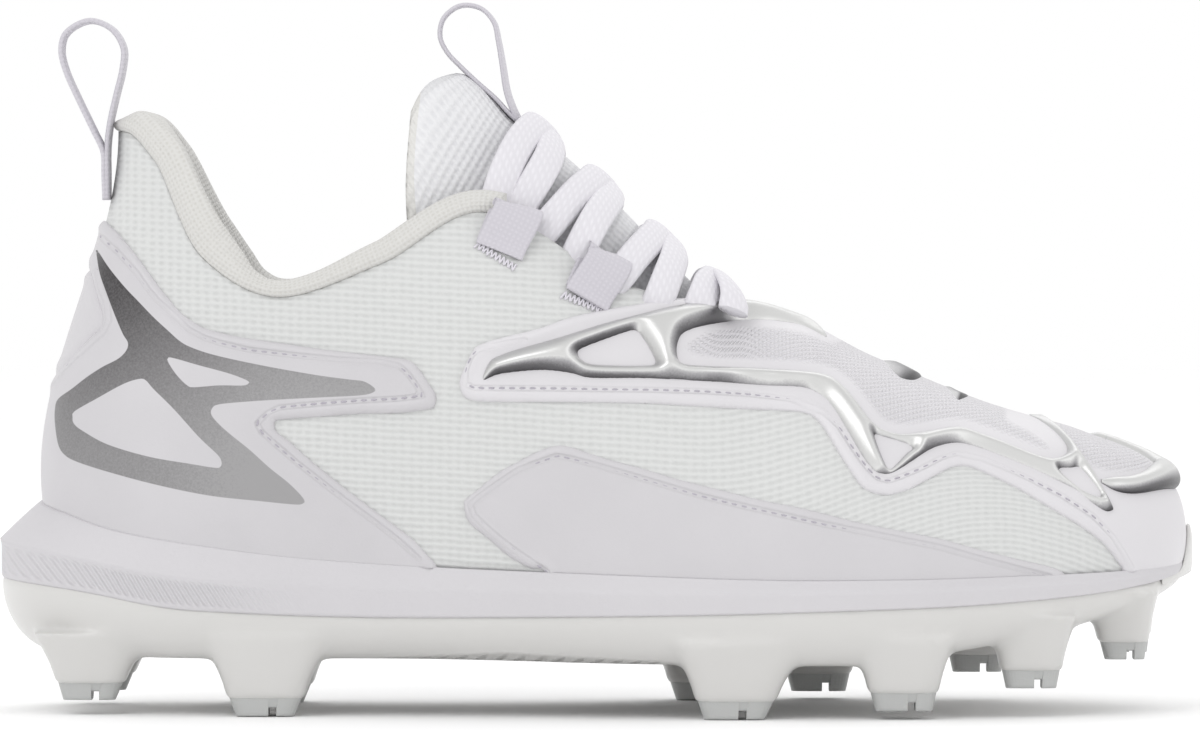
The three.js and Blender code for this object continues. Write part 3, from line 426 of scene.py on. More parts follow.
# %% Material: white knitted polyester
def knit_material(name, colour, shade, rib, stitch, depth, grid=0.9, heel_grid=0.9):
    """Ribs: a sine up the wall. Stitches: a finer sine along it, by a share of the ribs' height. Noise
    roughens their sum, which is the bump, and the hollows take the shade colour."""
    material, shader = new_material(name, {
        "Roughness": 0.85, "Sheen Weight": 0.15, "Sheen Roughness": 0.5, "IOR": 1.5})
    threads = surface_wave(material, 10 / rib, 10 / stitch)
    coordinates = add_node(material, "ShaderNodeTexCoord")
    scaled = add_node(material, "ShaderNodeMapping", {
        "Vector": coordinates.outputs["Object"], "Scale": (1000, 1000, 1000)})
    wobble = add_node(material, "ShaderNodeTexNoise", {
        "Vector": scaled.outputs["Vector"], "Scale": 0.12, "Detail": 2.0})
    centred = add_node(material, "ShaderNodeVectorMath", {
        0: wobble.outputs["Color"], 1: (0.5, 0.5, 0.5)}, operation="SUBTRACT")
    sway = add_node(material, "ShaderNodeVectorMath", {0: centred.outputs["Vector"], "Scale": 0.35},
                    operation="SCALE")
    shifted = add_node(material, "ShaderNodeVectorMath", {
        0: threads.outputs["Vector"], 1: sway.outputs["Vector"]}, operation="ADD")
    ribs = add_node(material, "ShaderNodeTexWave", {"Vector": shifted.outputs["Vector"], "Scale": 0.314},
                    wave_type="BANDS", bands_direction="Y", wave_profile="SIN")
    knots = add_node(material, "ShaderNodeTexWave", {"Vector": shifted.outputs["Vector"], "Scale": 0.314},
                     wave_type="BANDS", bands_direction="X", wave_profile="SIN")
    place = add_node(material, "ShaderNodeSeparateXYZ", {"Vector": scaled.outputs["Vector"]})
    squarer = add_node(material, "ShaderNodeMapRange", {
        "Value": place.outputs["X"], "From Min": -50.0, "From Max": -85.0, "To Min": grid,
                                                        "To Max": heel_grid})
    relief = add_node(material, "ShaderNodeMath", {
        0: knots.outputs["Fac"], 1: squarer.outputs["Result"], 2: ribs.outputs["Fac"]},
                      operation="MULTIPLY_ADD")
    fuzz = add_node(material, "ShaderNodeTexNoise", {
        "Vector": scaled.outputs["Vector"], "Scale": 1.1, "Detail": 3.0})
    rough = add_node(material, "ShaderNodeMath", {
        0: fuzz.outputs["Fac"], 1: 1.0, 2: relief.outputs[0]}, operation="MULTIPLY_ADD")
    bump = add_node(material, "ShaderNodeBump", {
        "Height": rough.outputs[0], "Distance": depth * MM, "Strength": 1.0})
    link(material, bump.outputs["Normal"], shader, "Normal")
    tone = add_node(material, "ShaderNodeMapRange", {
        "Value": rough.outputs[0], "From Min": 0.2, "From Max": 1.5})
    colours = add_node(material, "ShaderNodeMix", {
        "Factor": tone.outputs["Result"], "A": linear(shade), "B": linear(colour)}, data_type="RGBA")
    link(material, colours.outputs["Result"], shader, "Base Color")
    return material


knit = knit_material("white_knitted_polyester", "#D3D4D3", "#C4C5C4", 1.35, 1.9, 0.13, 0.35, 0.8)


# %% [markdown]
# The upper is one hollow shell. Its outer and inner sheet are the same function at two lifts, joined along
# the feather line and along the open collar and throat. Ahead of the throat the outer and inner side meet
# in the ridge and merge. A grid of stations and shares gives both sheets at once.

# %% The upper
UPPER_STATIONS, UPPER_SHARES = 261, 49


def upper_sheet(side, lift):
    """Grid of the wall: stations by shares, at one lift."""
    station, share = np.meshgrid(np.linspace(0, 1, UPPER_STATIONS), np.linspace(0, 1, UPPER_SHARES),
                                 indexing="ij")
    return skin(side, station, share, lift)


def surface_uv(side, station, share):
    """Centimetres along the shoe and up it, so that ribs run level. Over the toes the way across counts
    too, and round the heel it adds to the way along, so the weave never stretches."""
    point = wall(side, station, share)
    rise = point[..., 2] + 0.06 * point[..., 0] - 0.55 * np.abs(point[..., 1]) * ease(0.55, 0.75, station)
    back = ease(-95, -118, point[..., 0]) * np.abs(point[..., 1])
    return np.stack([point[..., 0] - back, rise], axis=-1) / 10


def film_uv(side, station, share):
    """Centimetres along the shoe, and up the wall by the length of its curve from rim over middle to top."""
    middle = wall(side, station, 0.5)
    rim, top = rim_point(side, station), top_point(side, station)
    length = np.linalg.norm(middle - rim, axis=-1) + np.linalg.norm(top - middle, axis=-1)
    return np.stack([wall(side, station, share)[..., 0] / 10, (share - 1) * length / 10], axis=-1)


def upper_shell():
    """Both sheets of both sides, with a strip under the rim and one along the open top edge."""
    parts, uvs = [], []
    station, share = np.meshgrid(np.linspace(0, 1, UPPER_STATIONS), np.linspace(0, 1, UPPER_SHARES),
                                 indexing="ij")
    for side in (LATERAL, MEDIAL):
        flip = side == MEDIAL
        outer, inner = upper_sheet(side, 0.0), upper_sheet(side, -UPPER_WALL)
        parts.append((outer, grid_faces(UPPER_STATIONS, UPPER_SHARES, flip)))
        parts.append((inner, grid_faces(UPPER_STATIONS, UPPER_SHARES, not flip)))
        open_rows = int(np.sum(np.linspace(0, 1, UPPER_STATIONS) <= THROAT_FRONT)) + 1
        top = np.stack([outer[:open_rows, -1], inner[:open_rows, -1]], axis=1)
        low = np.stack([inner[:, 0], outer[:, 0]], axis=1)
        parts.append((top, grid_faces(open_rows, 2, flip)))
        parts.append((low, grid_faces(UPPER_STATIONS, 2, flip)))
        uv = surface_uv(side, station, share)
        uvs += [uv, uv, np.stack([uv[:open_rows, -1]] * 2, axis=1), np.stack([uv[:, 0]] * 2, axis=1)]
    points, faces = join_parts(parts)
    return points, faces, np.concatenate([uv.reshape(-1, 2) for uv in uvs])


points, faces, uv = upper_shell()
upper = make_piece("upper_knit", points, faces, knit, uv=uv, merge=0.01)
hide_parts("upper")

# %% [markdown]
# Overlays are thin films pressed onto the knit, and the silver trim is moulded and bonded on top. Each has
# an outline that is easy to read from the photo, and a relief of a millimetre or two. So one tool makes
# them all: a fine grid over the wall, the signed distance of each grid point to the outline in the photo's
# view, the cells inside it, and the points just outside moved onto the outline itself. Newton's rule does
# that move: a step down the slope of the distance, measured in real millimetres on the wall.

# %% Signed distance to an outline
def outline_distance(pixels, outline):
    """Distance in mm to the nearest edge of a closed outline in pixels, negative inside. Inside is where a
    level line crosses the outline an odd number of times."""
    start = np.asarray(outline, float)
    end = np.roll(start, -1, axis=0)
    best = np.full(pixels.shape[:-1], 1e9)
    inside = np.zeros(pixels.shape[:-1], bool)
    for a, b in zip(start, end):
        edge, away = b - a, pixels - a
        t = np.clip((away @ edge) / (edge @ edge), 0, 1)
        best = np.minimum(best, np.linalg.norm(away - t[..., None] * edge, axis=-1))
        crosses = (a[1] > pixels[..., 1]) != (b[1] > pixels[..., 1])
        rise = b[1] - a[1] if b[1] != a[1] else 1e-9
        inside ^= crosses & (pixels[..., 0] < a[0] + (pixels[..., 1] - a[1]) / rise * edge[0])
    return np.where(inside, -best, best) * PIXEL


def shape_distance(pixels, outline, windows=()):
    """Distance to an outline with windows cut out: the larger of the outline's and each window's negative."""
    distance = outline_distance(pixels, outline)
    for window in windows:
        distance = np.maximum(distance, -outline_distance(pixels, window))
    return distance


def line_distance(pixels, line):
    """Distance in mm to the nearest point of an open line in pixels."""
    best = np.full(pixels.shape[:-1], 1e9)
    rows = np.asarray(line, float)
    for a, b in zip(rows[:-1], rows[1:]):
        edge, away = b - a, pixels - a
        t = np.clip((away @ edge) / (edge @ edge), 0, 1)
        best = np.minimum(best, np.linalg.norm(away - t[..., None] * edge, axis=-1))
    return best * PIXEL


def smooth_outline(rows, steps=6):
    """A closed outline rounded through its points: a centripetal-like cubic through each four neighbours."""
    p = np.asarray(rows, float)
    before, after, beyond = np.roll(p, 1, axis=0), np.roll(p, -1, axis=0), np.roll(p, -2, axis=0)
    t = np.linspace(0, 1, steps, endpoint=False)[None, :, None]
    a, b, c, d = before[:, None], p[:, None], after[:, None], beyond[:, None]
    blend = b + 0.5 * t * (c - a + t * (2 * a - 5 * b + 4 * c - d + t * (3 * (b - c) + d - a)))
    return blend.reshape(-1, 2)


# %% The relief tool
def relief_grid(outline, windows, stations, shares):
    """Grid points that belong to the cells inside the outline, with those outside moved onto it.
    Returns stations, shares, distances and the faces of the kept cells."""
    s, v = np.meshgrid(stations, shares, indexing="ij")
    points = wall(LATERAL, s, v)
    distance = shape_distance(photo_place(points), outline, windows)
    inside = distance < 0
    cell = inside[:-1, :-1] | inside[1:, :-1] | inside[1:, 1:] | inside[:-1, 1:]
    used = np.zeros_like(inside)
    for rows in (slice(None, -1), slice(1, None)):
        for columns in (slice(None, -1), slice(1, None)):
            used[rows, columns] |= cell
    edge = used & ~inside
    along, upward = np.gradient(points, stations, shares, axis=(0, 1))
    slope_s, slope_v = np.gradient(distance, stations, shares)
    ss, sv, vv = np.sum(along * along, -1), np.sum(along * upward, -1), np.sum(upward * upward, -1)
    det = np.maximum(ss * vv - sv * sv, 1e-6)
    step_s, step_v = (vv * slope_s - sv * slope_v) / det, (ss * slope_v - sv * slope_s) / det
    fall = np.maximum(slope_s * step_s + slope_v * step_v, 1e-6)
    cell_s, cell_v = stations[1] - stations[0], shares[1] - shares[0]
    at_s, at_v, at_distance = s[edge], v[edge], distance[edge]
    for _ in range(3):
        move = at_distance / fall[edge]
        at_s = np.clip(at_s - np.clip(move * step_s[edge], -cell_s, cell_s), stations[0], stations[-1])
        at_v = np.clip(at_v - np.clip(move * step_v[edge], -cell_v, cell_v), shares[0], shares[-1])
        at_distance = shape_distance(photo_place(wall(LATERAL, at_s, at_v)), outline, windows)
    s[edge], v[edge] = at_s, at_v
    index = np.arange(s.size).reshape(s.shape)
    faces = np.stack([index[:-1, :-1], index[1:, :-1], index[1:, 1:], index[:-1, 1:]], axis=-1)[cell]
    kept, faces = np.unique(faces, return_inverse=True)
    return s.ravel()[kept], v.ravel()[kept], np.where(edge, 0.0, distance).ravel()[kept], faces.reshape(-1,
        4)


def border_of(faces):
    """Edges that belong to one face only, in that face's own direction."""
    edges = np.stack([faces, np.roll(faces, -1, axis=1)], axis=-1).reshape(-1, 2)
    key = np.sort(edges, axis=1)
    _, where, count = np.unique(key, axis=0, return_inverse=True, return_counts=True)
    return edges[count[where.ravel()] == 1]


def apply_modifiers(piece):
    """Replaces a piece's mesh by what its modifiers make of it, and removes them."""
    depsgraph = bpy.context.evaluated_depsgraph_get()
    mesh = bpy.data.meshes.new_from_object(piece.evaluated_get(depsgraph), depsgraph=depsgraph)
    piece.modifiers.clear()
    piece.data = mesh
    mesh.polygons.foreach_set("use_smooth", np.ones(len(mesh.polygons), bool))


def relief_piece(name, outlines, windows, stations, shares, height, material, foot=-0.4, masks=None,
                 merge=0.01, smooth=0):
    """The kept cells lifted by a height that depends on the distance to the edge, with a skirt round them
    that reaches down into what carries them. Outlines are given for the outer and the inner side; the inner
    one is drawn as if seen through the shoe. Smoothing rounds the crease where two slopes meet."""
    parts, uvs, values = [], [], {mask: [] for mask in masks or {}}
    meets_twin = outlines[0] is outlines[1]
    for side, outline in zip((LATERAL, MEDIAL), outlines):
        s, v, distance, faces = relief_grid(outline, windows, stations, shares)
        pixels = photo_place(wall(LATERAL, s, v))
        border = border_of(faces)
        on_seam = (s <= 1e-6) | (s >= 1 - 1e-6) | ((v >= 1 - 1e-6) & (s > THROAT_FRONT) & meets_twin)
        border = border[~(on_seam[border[:, 0]] & on_seam[border[:, 1]])]
        top, low = skin(side, s, v, height(distance, pixels)), skin(side, s, v, foot)
        skirt = np.stack([border[:, 0], border[:, 0] + len(s), border[:, 1] + len(s), border[:, 1]], axis=1)
        both = np.concatenate([faces, skirt])
        parts.append((np.concatenate([top, low]), both if side == LATERAL else both[:, ::-1]))
        uvs.append(np.concatenate([film_uv(side, s, v)] * 2))
        for mask, rule in (masks or {}).items():
            values[mask].append(np.tile(rule(pixels), 2))
    points, joined = join_parts(parts)
    piece = make_piece(name, points, joined, material, uv=np.concatenate(uvs), merge=merge,
                       masks={mask: np.concatenate(rows) for mask, rows in values.items()})
    work = bmesh.new()
    work.from_mesh(piece.data)
    loose = [vertex for vertex in work.verts if not vertex.link_faces]
    bmesh.ops.delete(work, geom=loose, context="VERTS")
    work.to_mesh(piece.data)
    work.free()
    if smooth:
        rounding = piece.modifiers.new("rounding", "SMOOTH")
        rounding.factor, rounding.iterations = 0.5, smooth
        apply_modifiers(piece)
    return piece


def film_height(full):
    """A film whose rim is rounded off at the very edge and puffed a little between edge and stitch line."""
    return lambda distance, pixels: (full - 0.45 * np.exp(distance / 0.3)
                                     + 0.35 * np.exp(-((distance + 1.3) / 0.75) ** 2))


def domed_height(low, full, radius):
    """A bar whose sides rise from low at its edge to full over a radius, on a quarter of a sine."""
    return lambda distance, pixels: mix(low, full, np.sin(np.pi / 2 * np.clip(-distance / radius, 0, 1)))


# %% [markdown]
# Outlines of the overlays as read from the photo, in its pixels. Where a piece runs out of sight, over the
# toe or round the heel, its outline simply goes on past the shoe's silhouette.

# %% Overlay outlines
COUNTER_OUTLINE = [
    (89, 204), (100, 215), (110, 225), (120, 235), (130, 247), (140, 260), (150, 274), (160, 288),
                   (170, 300),
    (180, 312), (195, 323), (210, 330), (240, 337), (280, 343), (320, 349), (360, 354), (395, 358),
                   (410, 361),
    (420, 370), (428, 382), (436, 395), (435, 405), (430, 409), (400, 413), (360, 414), (320, 417),
                   (280, 420),
    (275, 425), (277, 432), (290, 442), (310, 460), (330, 476), (350, 492), (370, 507), (390, 522),
                   (410, 537),
    (425, 552), (440, 575), (440, 620), (0, 620), (0, 430), (48, 385), (54, 380), (65, 368), (75, 358),
                   (85, 345),
    (95, 335), (103, 328), (104, 315), (100, 300), (95, 280), (89, 262), (84, 240),
]
TAB_OUTLINE = [
    (60, 198), (104, 200), (104, 214), (92, 209), (90, 216), (90, 262), (97, 280), (102, 300), (106, 315),
    (105, 329), (97, 337), (87, 347), (77, 360), (67, 370), (56, 382), (48, 392), (20, 400), (20, 198),
]
TOE_OUTLINE = [
    (460, 388), (460, 380), (464, 369), (472, 353), (480, 345), (507, 337), (539, 329), (571, 318),
               (609, 310),
    (641, 305), (668, 300), (690, 297), (720, 270), (800, 240), (1300, 240), (1300, 640), (1130, 640),
    (1126, 590), (1122, 570), (1118, 563), (1110, 552), (1100, 541), (1080, 526), (1060, 514), (1040, 502),
    (1020, 490), (1000, 480), (985, 473), (970, 467), (960, 466), (950, 468), (940, 473), (925, 481),
               (910, 489),
    (895, 494), (885, 495), (873, 493), (862, 487), (855, 478), (845, 463), (835, 447), (825, 430),
               (815, 418),
    (805, 413), (790, 411), (750, 409), (700, 406), (650, 403), (600, 402), (540, 402), (500, 402),
               (475, 401),
    (465, 397),
]
WRAP_OUTLINE = [
    (462, 505), (480, 488), (500, 472), (520, 461), (535, 453), (555, 446), (570, 447), (600, 457),
                (640, 468),
    (680, 480), (720, 490), (760, 500), (800, 508), (840, 518), (860, 523), (900, 531), (940, 539),
                (980, 550),
    (1020, 560), (1062, 572), (1075, 600), (1060, 620), (560, 620), (545, 573), (530, 568), (510, 557),
    (490, 540), (470, 523),
]
FRAME_OUTLINE = [
    (483, 381), (490, 362), (500, 356), (520, 349), (560, 338), (600, 326), (640, 316), (670, 309),
                 (700, 305),
    (730, 305), (760, 307), (790, 316), (812, 326), (826, 341), (800, 328), (770, 323), (730, 325),
                 (700, 329),
    (682, 336), (677, 345), (676, 355), (680, 365), (700, 368), (760, 371), (800, 374), (825, 378),
                 (840, 388),
    (855, 405), (868, 422), (880, 432), (900, 437), (920, 435), (945, 431), (960, 431), (975, 436),
                 (1000, 445),
    (1030, 457), (1050, 462), (1063, 458), (1065, 450), (1058, 440), (1048, 431), (1036, 423), (1024, 417),
    (1034, 417), (1052, 427), (1068, 442), (1082, 460), (1096, 482), (1110, 508), (1110, 512), (1103, 513),
    (1090, 505), (1075, 493),
    (1055, 483), (1030, 471), (1000, 459), (975, 450), (955, 446), (935, 450), (920, 458), (905, 468),
    (890, 476), (880, 476), (873, 473), (862, 460), (850, 440), (835, 415), (825, 402), (815, 395),
                 (800, 390),
    (760, 388), (720, 385), (680, 382), (640, 380), (590, 379), (570, 374), (540, 371), (500, 375),
]
FRAME_WINDOWS = [
    [(580, 360), (578, 352), (600, 343), (630, 333), (636, 333), (640, 338), (648, 350), (655, 365),
     (650, 367),
     (620, 367), (590, 365)],
    [(873, 438), (880, 439), (911, 449), (905, 456), (890, 471), (885, 468)],
    [(1057, 473), (1070, 471), (1080, 472), (1098, 495), (1095, 499), (1085, 495), (1075, 489)],
]
RIDGE_ACCENTS = [
    [(878, 355), (905, 368), (920, 377), (921, 381), (912, 385), (900, 383), (893, 378), (882, 366)],
    [(930, 372), (950, 390), (968, 399), (960, 404), (956, 405), (948, 396), (935, 382)],
]

# %% [markdown]
# The heel print is flat: metallic ink on the film, with windows left open. Flat ink needs no geometry of
# its own, so the counter's mesh carries the distance to the print's edge as an attribute, and the
# material turns silver where it is negative.

# %% Heel print outlines
PRINT_OUTLINE = [
    (101, 251), (113, 270), (127, 288), (140, 302), (155, 318), (170, 332), (180, 341), (190, 347),
                 (210, 354),
    (240, 361), (280, 369), (320, 376), (350, 380), (365, 382), (376, 389), (374, 393), (360, 396),
                 (320, 398),
    (280, 400), (250, 402), (220, 405), (213, 409), (212, 415), (218, 423), (230, 434), (250, 450),
                 (270, 468),
    (290, 484), (304, 499), (302, 504), (290, 504), (260, 501), (220, 497), (190, 492), (150, 483),
                 (110, 472),
    (80, 462), (68, 455), (62, 445), (59, 425), (59, 410), (62, 400), (75, 390), (90, 378), (105, 368),
    (120, 360), (128, 352), (130, 344), (125, 335), (118, 318), (110, 295), (104, 275), (101, 258),
]
PRINT_WINDOWS = [
    [(76, 418), (78, 412), (100, 399), (125, 385), (140, 380), (147, 381), (155, 390), (175, 410),
     (200, 438),
     (218, 455), (222, 462), (221, 467), (215, 468), (190, 464), (150, 457), (110, 445), (85, 431),
     (77, 424)],
    [(169, 359), (175, 359), (200, 366), (230, 374), (248, 381), (249, 384), (243, 386), (220, 386),
     (195, 388),
     (188, 386), (178, 376), (170, 364)],
]
DOTTED_OUTLINE = [
    (684, 352), (688, 343), (704, 334), (730, 331), (770, 328), (800, 333), (830, 342), (860, 340),
                  (1000, 380),
    (1080, 415), (1120, 432), (1148, 462), (1138, 474), (1110, 476), (1088, 470), (1062, 444), (1045, 428),
    (1030, 414), (1012, 412), (1008, 422), (1030, 434), (1046, 446), (1048, 455), (1030, 450), (1000, 438),
    (975, 429), (960, 425), (945, 425), (920, 428), (900, 430), (884, 426), (872, 416), (860, 400),
                  (845, 383),
    (828, 372), (800, 367), (760, 365), (700, 361),
]

# %% [markdown]
# The films are thermoplastic urethane pressed smooth: cool white, with a soft satin gloss and a hardly
# visible grain. On the toe a wide zone is embossed with round dots about a millimetre apart. Stitch lines
# run just inside the edges: each presses the film into a shallow groove. Distances to those lines come with
# the mesh, so groove, dots and print all stay sharp whatever the grid.

# %% Material: pressed thermoplastic film
def film_material(name, colour, pale, printed=False, dotted=False):
    """Satin film. Where it is printed, metallic speckled ink takes over inside the print's edge, and where
    it is dotted, a grid of round bumps fades in by the distance to the dotted zone's edge, with painted
    shade in the hollows between the bumps."""
    material, shader = new_material(name, {"Roughness": 0.42, "IOR": 1.5, "Coat Weight": 0.08,
                                           "Coat Roughness": 0.3, "Base Color": linear(colour)})
    coordinates = add_node(material, "ShaderNodeTexCoord")
    fine = add_node(material, "ShaderNodeMapping", {"Vector": coordinates.outputs["Object"],
                                                    "Scale": (1000, 1000, 1000)})
    grain = add_node(material, "ShaderNodeTexNoise", {"Vector": fine.outputs["Vector"], "Scale": 1.6,
                                                      "Detail": 3.0})
    patches = add_node(material, "ShaderNodeTexNoise", {"Vector": fine.outputs["Vector"], "Scale": 0.05,
                                                        "Detail": 2.0})
    groove = add_node(material, "ShaderNodeAttribute", attribute_name="stitch")
    press = add_node(material, "ShaderNodeMapRange", {
        "Value": groove.outputs["Fac"], "From Min": 0.2, "From Max": 0.8, "To Min": 0.0, "To Max": 1.0},
        interpolation_type="SMOOTHSTEP")
    height = add_node(material, "ShaderNodeMath", {0: grain.outputs["Fac"], 1: 0.12,
                                                   2: press.outputs["Result"]},
                      operation="MULTIPLY_ADD")
    tone = add_node(material, "ShaderNodeMix", {
        "Factor": patches.outputs["Fac"], "A": linear(colour), "B": linear(pale)}, data_type="RGBA")
    result = tone.outputs["Result"]
    total = height.outputs[0]
    if dotted:
        zone = add_node(material, "ShaderNodeAttribute", attribute_name="dotted")
        inside = add_node(material, "ShaderNodeMapRange", {
            "Value": zone.outputs["Fac"], "From Min": 0.0, "From Max": -1.2, "To Min": 0.0, "To Max": 1.0})
        grid = surface_wave(material, 10 / 1.1, 10 / 1.1, np.pi / 4)
        cells = add_node(material, "ShaderNodeTexVoronoi", {
            "Vector": grid.outputs["Vector"], "Scale": 1.0, "Randomness": 0.0},
            voronoi_dimensions="2D", feature="F1")
        dot = add_node(material, "ShaderNodeMapRange", {
            "Value": cells.outputs["Distance"], "From Min": 0.5, "From Max": 0.1, "To Min": 0.0,
                                                        "To Max": 1.0},
            interpolation_type="SMOOTHSTEP")
        shown = add_node(material, "ShaderNodeMath", {0: dot.outputs["Result"],
                                                      1: inside.outputs["Result"]},
                         operation="MULTIPLY")
        raised = add_node(material, "ShaderNodeMath", {0: shown.outputs[0], 1: 1.1, 2: total},
                          operation="MULTIPLY_ADD")
        total = raised.outputs[0]
        # Painted shade: inside the dotted zone the film darkens towards #C3C1C6 between the dots, shade in
        # the hollows between the bumps.
        darker = add_node(material, "ShaderNodeMath", {0: inside.outputs["Result"], 1: 0.5},
                          operation="MULTIPLY")
        hollow = add_node(material, "ShaderNodeMath", {0: darker.outputs[0], 1: shown.outputs[0]},
                          operation="SUBTRACT", use_clamp=True)
        dots_with_painted_shade = add_node(material, "ShaderNodeMix", {
            "Factor": hollow.outputs[0], "A": result, "B": linear("#C3C1C6")}, data_type="RGBA")
        result = dots_with_painted_shade.outputs["Result"]
    if printed:
        ink_edge = add_node(material, "ShaderNodeAttribute", attribute_name="print")
        ink = add_node(material, "ShaderNodeMapRange", {
            "Value": ink_edge.outputs["Fac"], "From Min": 0.05, "From Max": -0.05, "To Min": 0.0,
                                                        "To Max": 1.0})
        shade = add_node(material, "ShaderNodeAttribute", attribute_name="shade")
        speckle = add_node(material, "ShaderNodeTexNoise", {"Vector": fine.outputs["Vector"], "Scale": 2.2,
                                                            "Detail": 4.0, "Roughness": 0.7})
        spots = add_node(material, "ShaderNodeMapRange", {
            "Value": speckle.outputs["Fac"], "From Min": 0.35, "From Max": 0.7, "To Min": -0.12,
                                                          "To Max": 0.12})
        fade = add_node(material, "ShaderNodeMath", {0: shade.outputs["Fac"], 1: spots.outputs["Result"]},
                        operation="ADD")
        silver = add_node(material, "ShaderNodeMix", {
            "Factor": fade.outputs[0], "A": linear("#3E3B3D"), "B": linear("#9C9B9C")}, data_type="RGBA")
        inked = add_node(material, "ShaderNodeMix", {
            "Factor": ink.outputs["Result"], "A": result, "B": silver.outputs["Result"]}, data_type="RGBA")
        result = inked.outputs["Result"]
        metal = add_node(material, "ShaderNodeMath", {0: ink.outputs["Result"], 1: 0.35},
                         operation="MULTIPLY")
        link(material, metal.outputs[0], shader, "Metallic")
    link(material, result, shader, "Base Color")
    bump = add_node(material, "ShaderNodeBump", {"Height": total, "Distance": 0.22 * MM, "Strength": 1.0})
    link(material, bump.outputs["Normal"], shader, "Normal")
    return material


film_printed = film_material("pressed_film_with_silver_print", "#C0BEC1", "#CAC8CB", printed=True)
film_dotted = film_material("pressed_film_with_dots", "#D2D0D3", "#D7D5D8", dotted=True)
film_plain = film_material("pressed_film_plain", "#C3C1C4", "#CAC8CB")

# %% [markdown]
# The trim is vacuum-metallised plastic with a satin finish. In the photo its upward faces mirror white
# walls and its undersides a dark floor, which is what shows how far it stands proud. This stage has a
# white floor, so the metal's tint follows the slope of the surface instead, as painted reflection and
# shade: bright where it faces up and to the heel, dark where it turns down or to the toe. A fine grain
# in tint and gloss keeps it from looking like clean new steel.

# %% Material: satin metallised plastic
def silver_material(name, tints):
    """Metal whose tint, painted reflection and shade, is a ramp over how far the surface normal leans to the
    bright side, plus noise.
    """
    material, shader = new_material(name, {"Metallic": 0.85, "Roughness": 0.42})
    coordinates = add_node(material, "ShaderNodeTexCoord")
    fine = add_node(material, "ShaderNodeMapping", {"Vector": coordinates.outputs["Object"],
                                                    "Scale": (1000, 1000, 1000)})
    noise = add_node(material, "ShaderNodeTexNoise", {"Vector": fine.outputs["Vector"], "Scale": 2.4,
                                                      "Detail": 4.0,
                                                      "Roughness": 0.7})
    slope = add_node(material, "ShaderNodeNewGeometry")
    facing = add_node(material, "ShaderNodeVectorMath", {0: slope.outputs["Normal"], 1: PAINTED_LIGHT_SIDE},
                      operation="DOT_PRODUCT")
    grain = add_node(material, "ShaderNodeMath", {0: noise.outputs["Fac"], 1: 0.24,
                                                  2: facing.outputs["Value"]},
                     operation="MULTIPLY_ADD")
    shift = add_node(material, "ShaderNodeMath", {0: grain.outputs[0], 1: 0.5, 2: 0.38},
                     operation="MULTIPLY_ADD")
    ramp = add_node(material, "ShaderNodeValToRGB", {"Fac": shift.outputs[0]})
    stops = ramp.color_ramp.elements
    for _ in tints[2:]:
        stops.new(0.5)
    for stop, (place, tint) in zip(stops, tints):
        stop.position, stop.color = place, linear(tint)
    link(material, ramp.outputs["Color"], shader, "Base Color")
    rough = add_node(material, "ShaderNodeMapRange", {"Value": noise.outputs["Fac"], "To Min": 0.26,
                                                      "To Max": 0.44})
    link(material, rough.outputs["Result"], shader, "Roughness")
    bump = add_node(material, "ShaderNodeBump", {"Height": noise.outputs["Fac"], "Distance": 0.03 * MM,
                                                 "Strength": 1.0})
    link(material, bump.outputs["Normal"], shader, "Normal")
    return material


# Painted light: surfaces facing this direction get the brightest tint, and the ramp below is painted
# reflection and shade over it.
PAINTED_LIGHT_SIDE = (-0.5, -0.22, 0.84)
PAINTED_REFLECTION_TINTS = [(0.12, "#454446"), (0.30, "#6E6D6F"), (0.42, "#A6A5A7"), (0.54, "#D8D8D7"),
                (0.80, "#CBCBCA"),
                (1.0, "#BEBEBF")]
# Painted shade: a darker tint ramp for the ridge accents, standing in for the shade on their faces turned
# from the light.
PAINTED_SHADE_TINTS = [(0.42, "#3A393B"), (0.66, "#4E4D4F"), (0.82, "#8A898B"), (0.96, "#D2D2D2")]
silver = silver_material("satin_metallised_plastic", PAINTED_REFLECTION_TINTS)
silver_with_painted_shade = silver_material("metallised_plastic_painted_shade", PAINTED_SHADE_TINTS)

# %% Stitch lines on the films
COUNTER_STITCH = [
    (105, 238), (120, 252), (140, 275), (150, 290), (160, 302), (175, 315), (190, 330), (205, 338),
                  (220, 343),
    (250, 350), (300, 356), (340, 360), (380, 362), (400, 366), (410, 375), (418, 386), (424, 396),
                  (400, 399),
    (360, 401), (320, 404), (280, 408), (268, 414), (258, 424), (262, 432), (280, 448), (300, 465),
                  (330, 488),
    (350, 503), (375, 521), (400, 540), (420, 558),
]
COUNTER_REAR_STITCH = [(102, 272), (105, 290), (111, 305), (112, 322), (107, 333), (97, 342), (86, 353),
                       (75, 363),
                       (65, 374), (57, 384)]
TOE_STITCH = [
    (525, 341), (500, 345), (480, 350), (472, 356), (467, 370), (466, 384), (475, 388), (560, 389),
              (600, 390),
    (650, 391), (700, 393), (750, 397), (790, 402), (822, 415), (838, 430), (850, 448), (860, 462),
              (868, 472),
    (877, 480), (888, 483), (900, 479), (920, 471), (940, 461), (955, 457), (980, 462), (1000, 470),
              (1030, 483),
    (1060, 498), (1090, 517), (1110, 538), (1120, 553), (1128, 567),
]
WRAP_STITCH = [
    (548, 571), (520, 553), (500, 538), (484, 524), (475, 515), (471, 504), (480, 496), (500, 482),
               (520, 469),
    (545, 460), (557, 456), (570, 458), (600, 466), (620, 472), (660, 484), (700, 496), (740, 506),
               (780, 515),
    (820, 524), (860, 532), (900, 540), (940, 548), (980, 559), (1020, 569), (1048, 576),
]


def stitch_mask(*lines):
    """Distance in mm to the nearest of several stitch lines."""
    return lambda pixels: np.min([line_distance(pixels, line) for line in lines], axis=0)


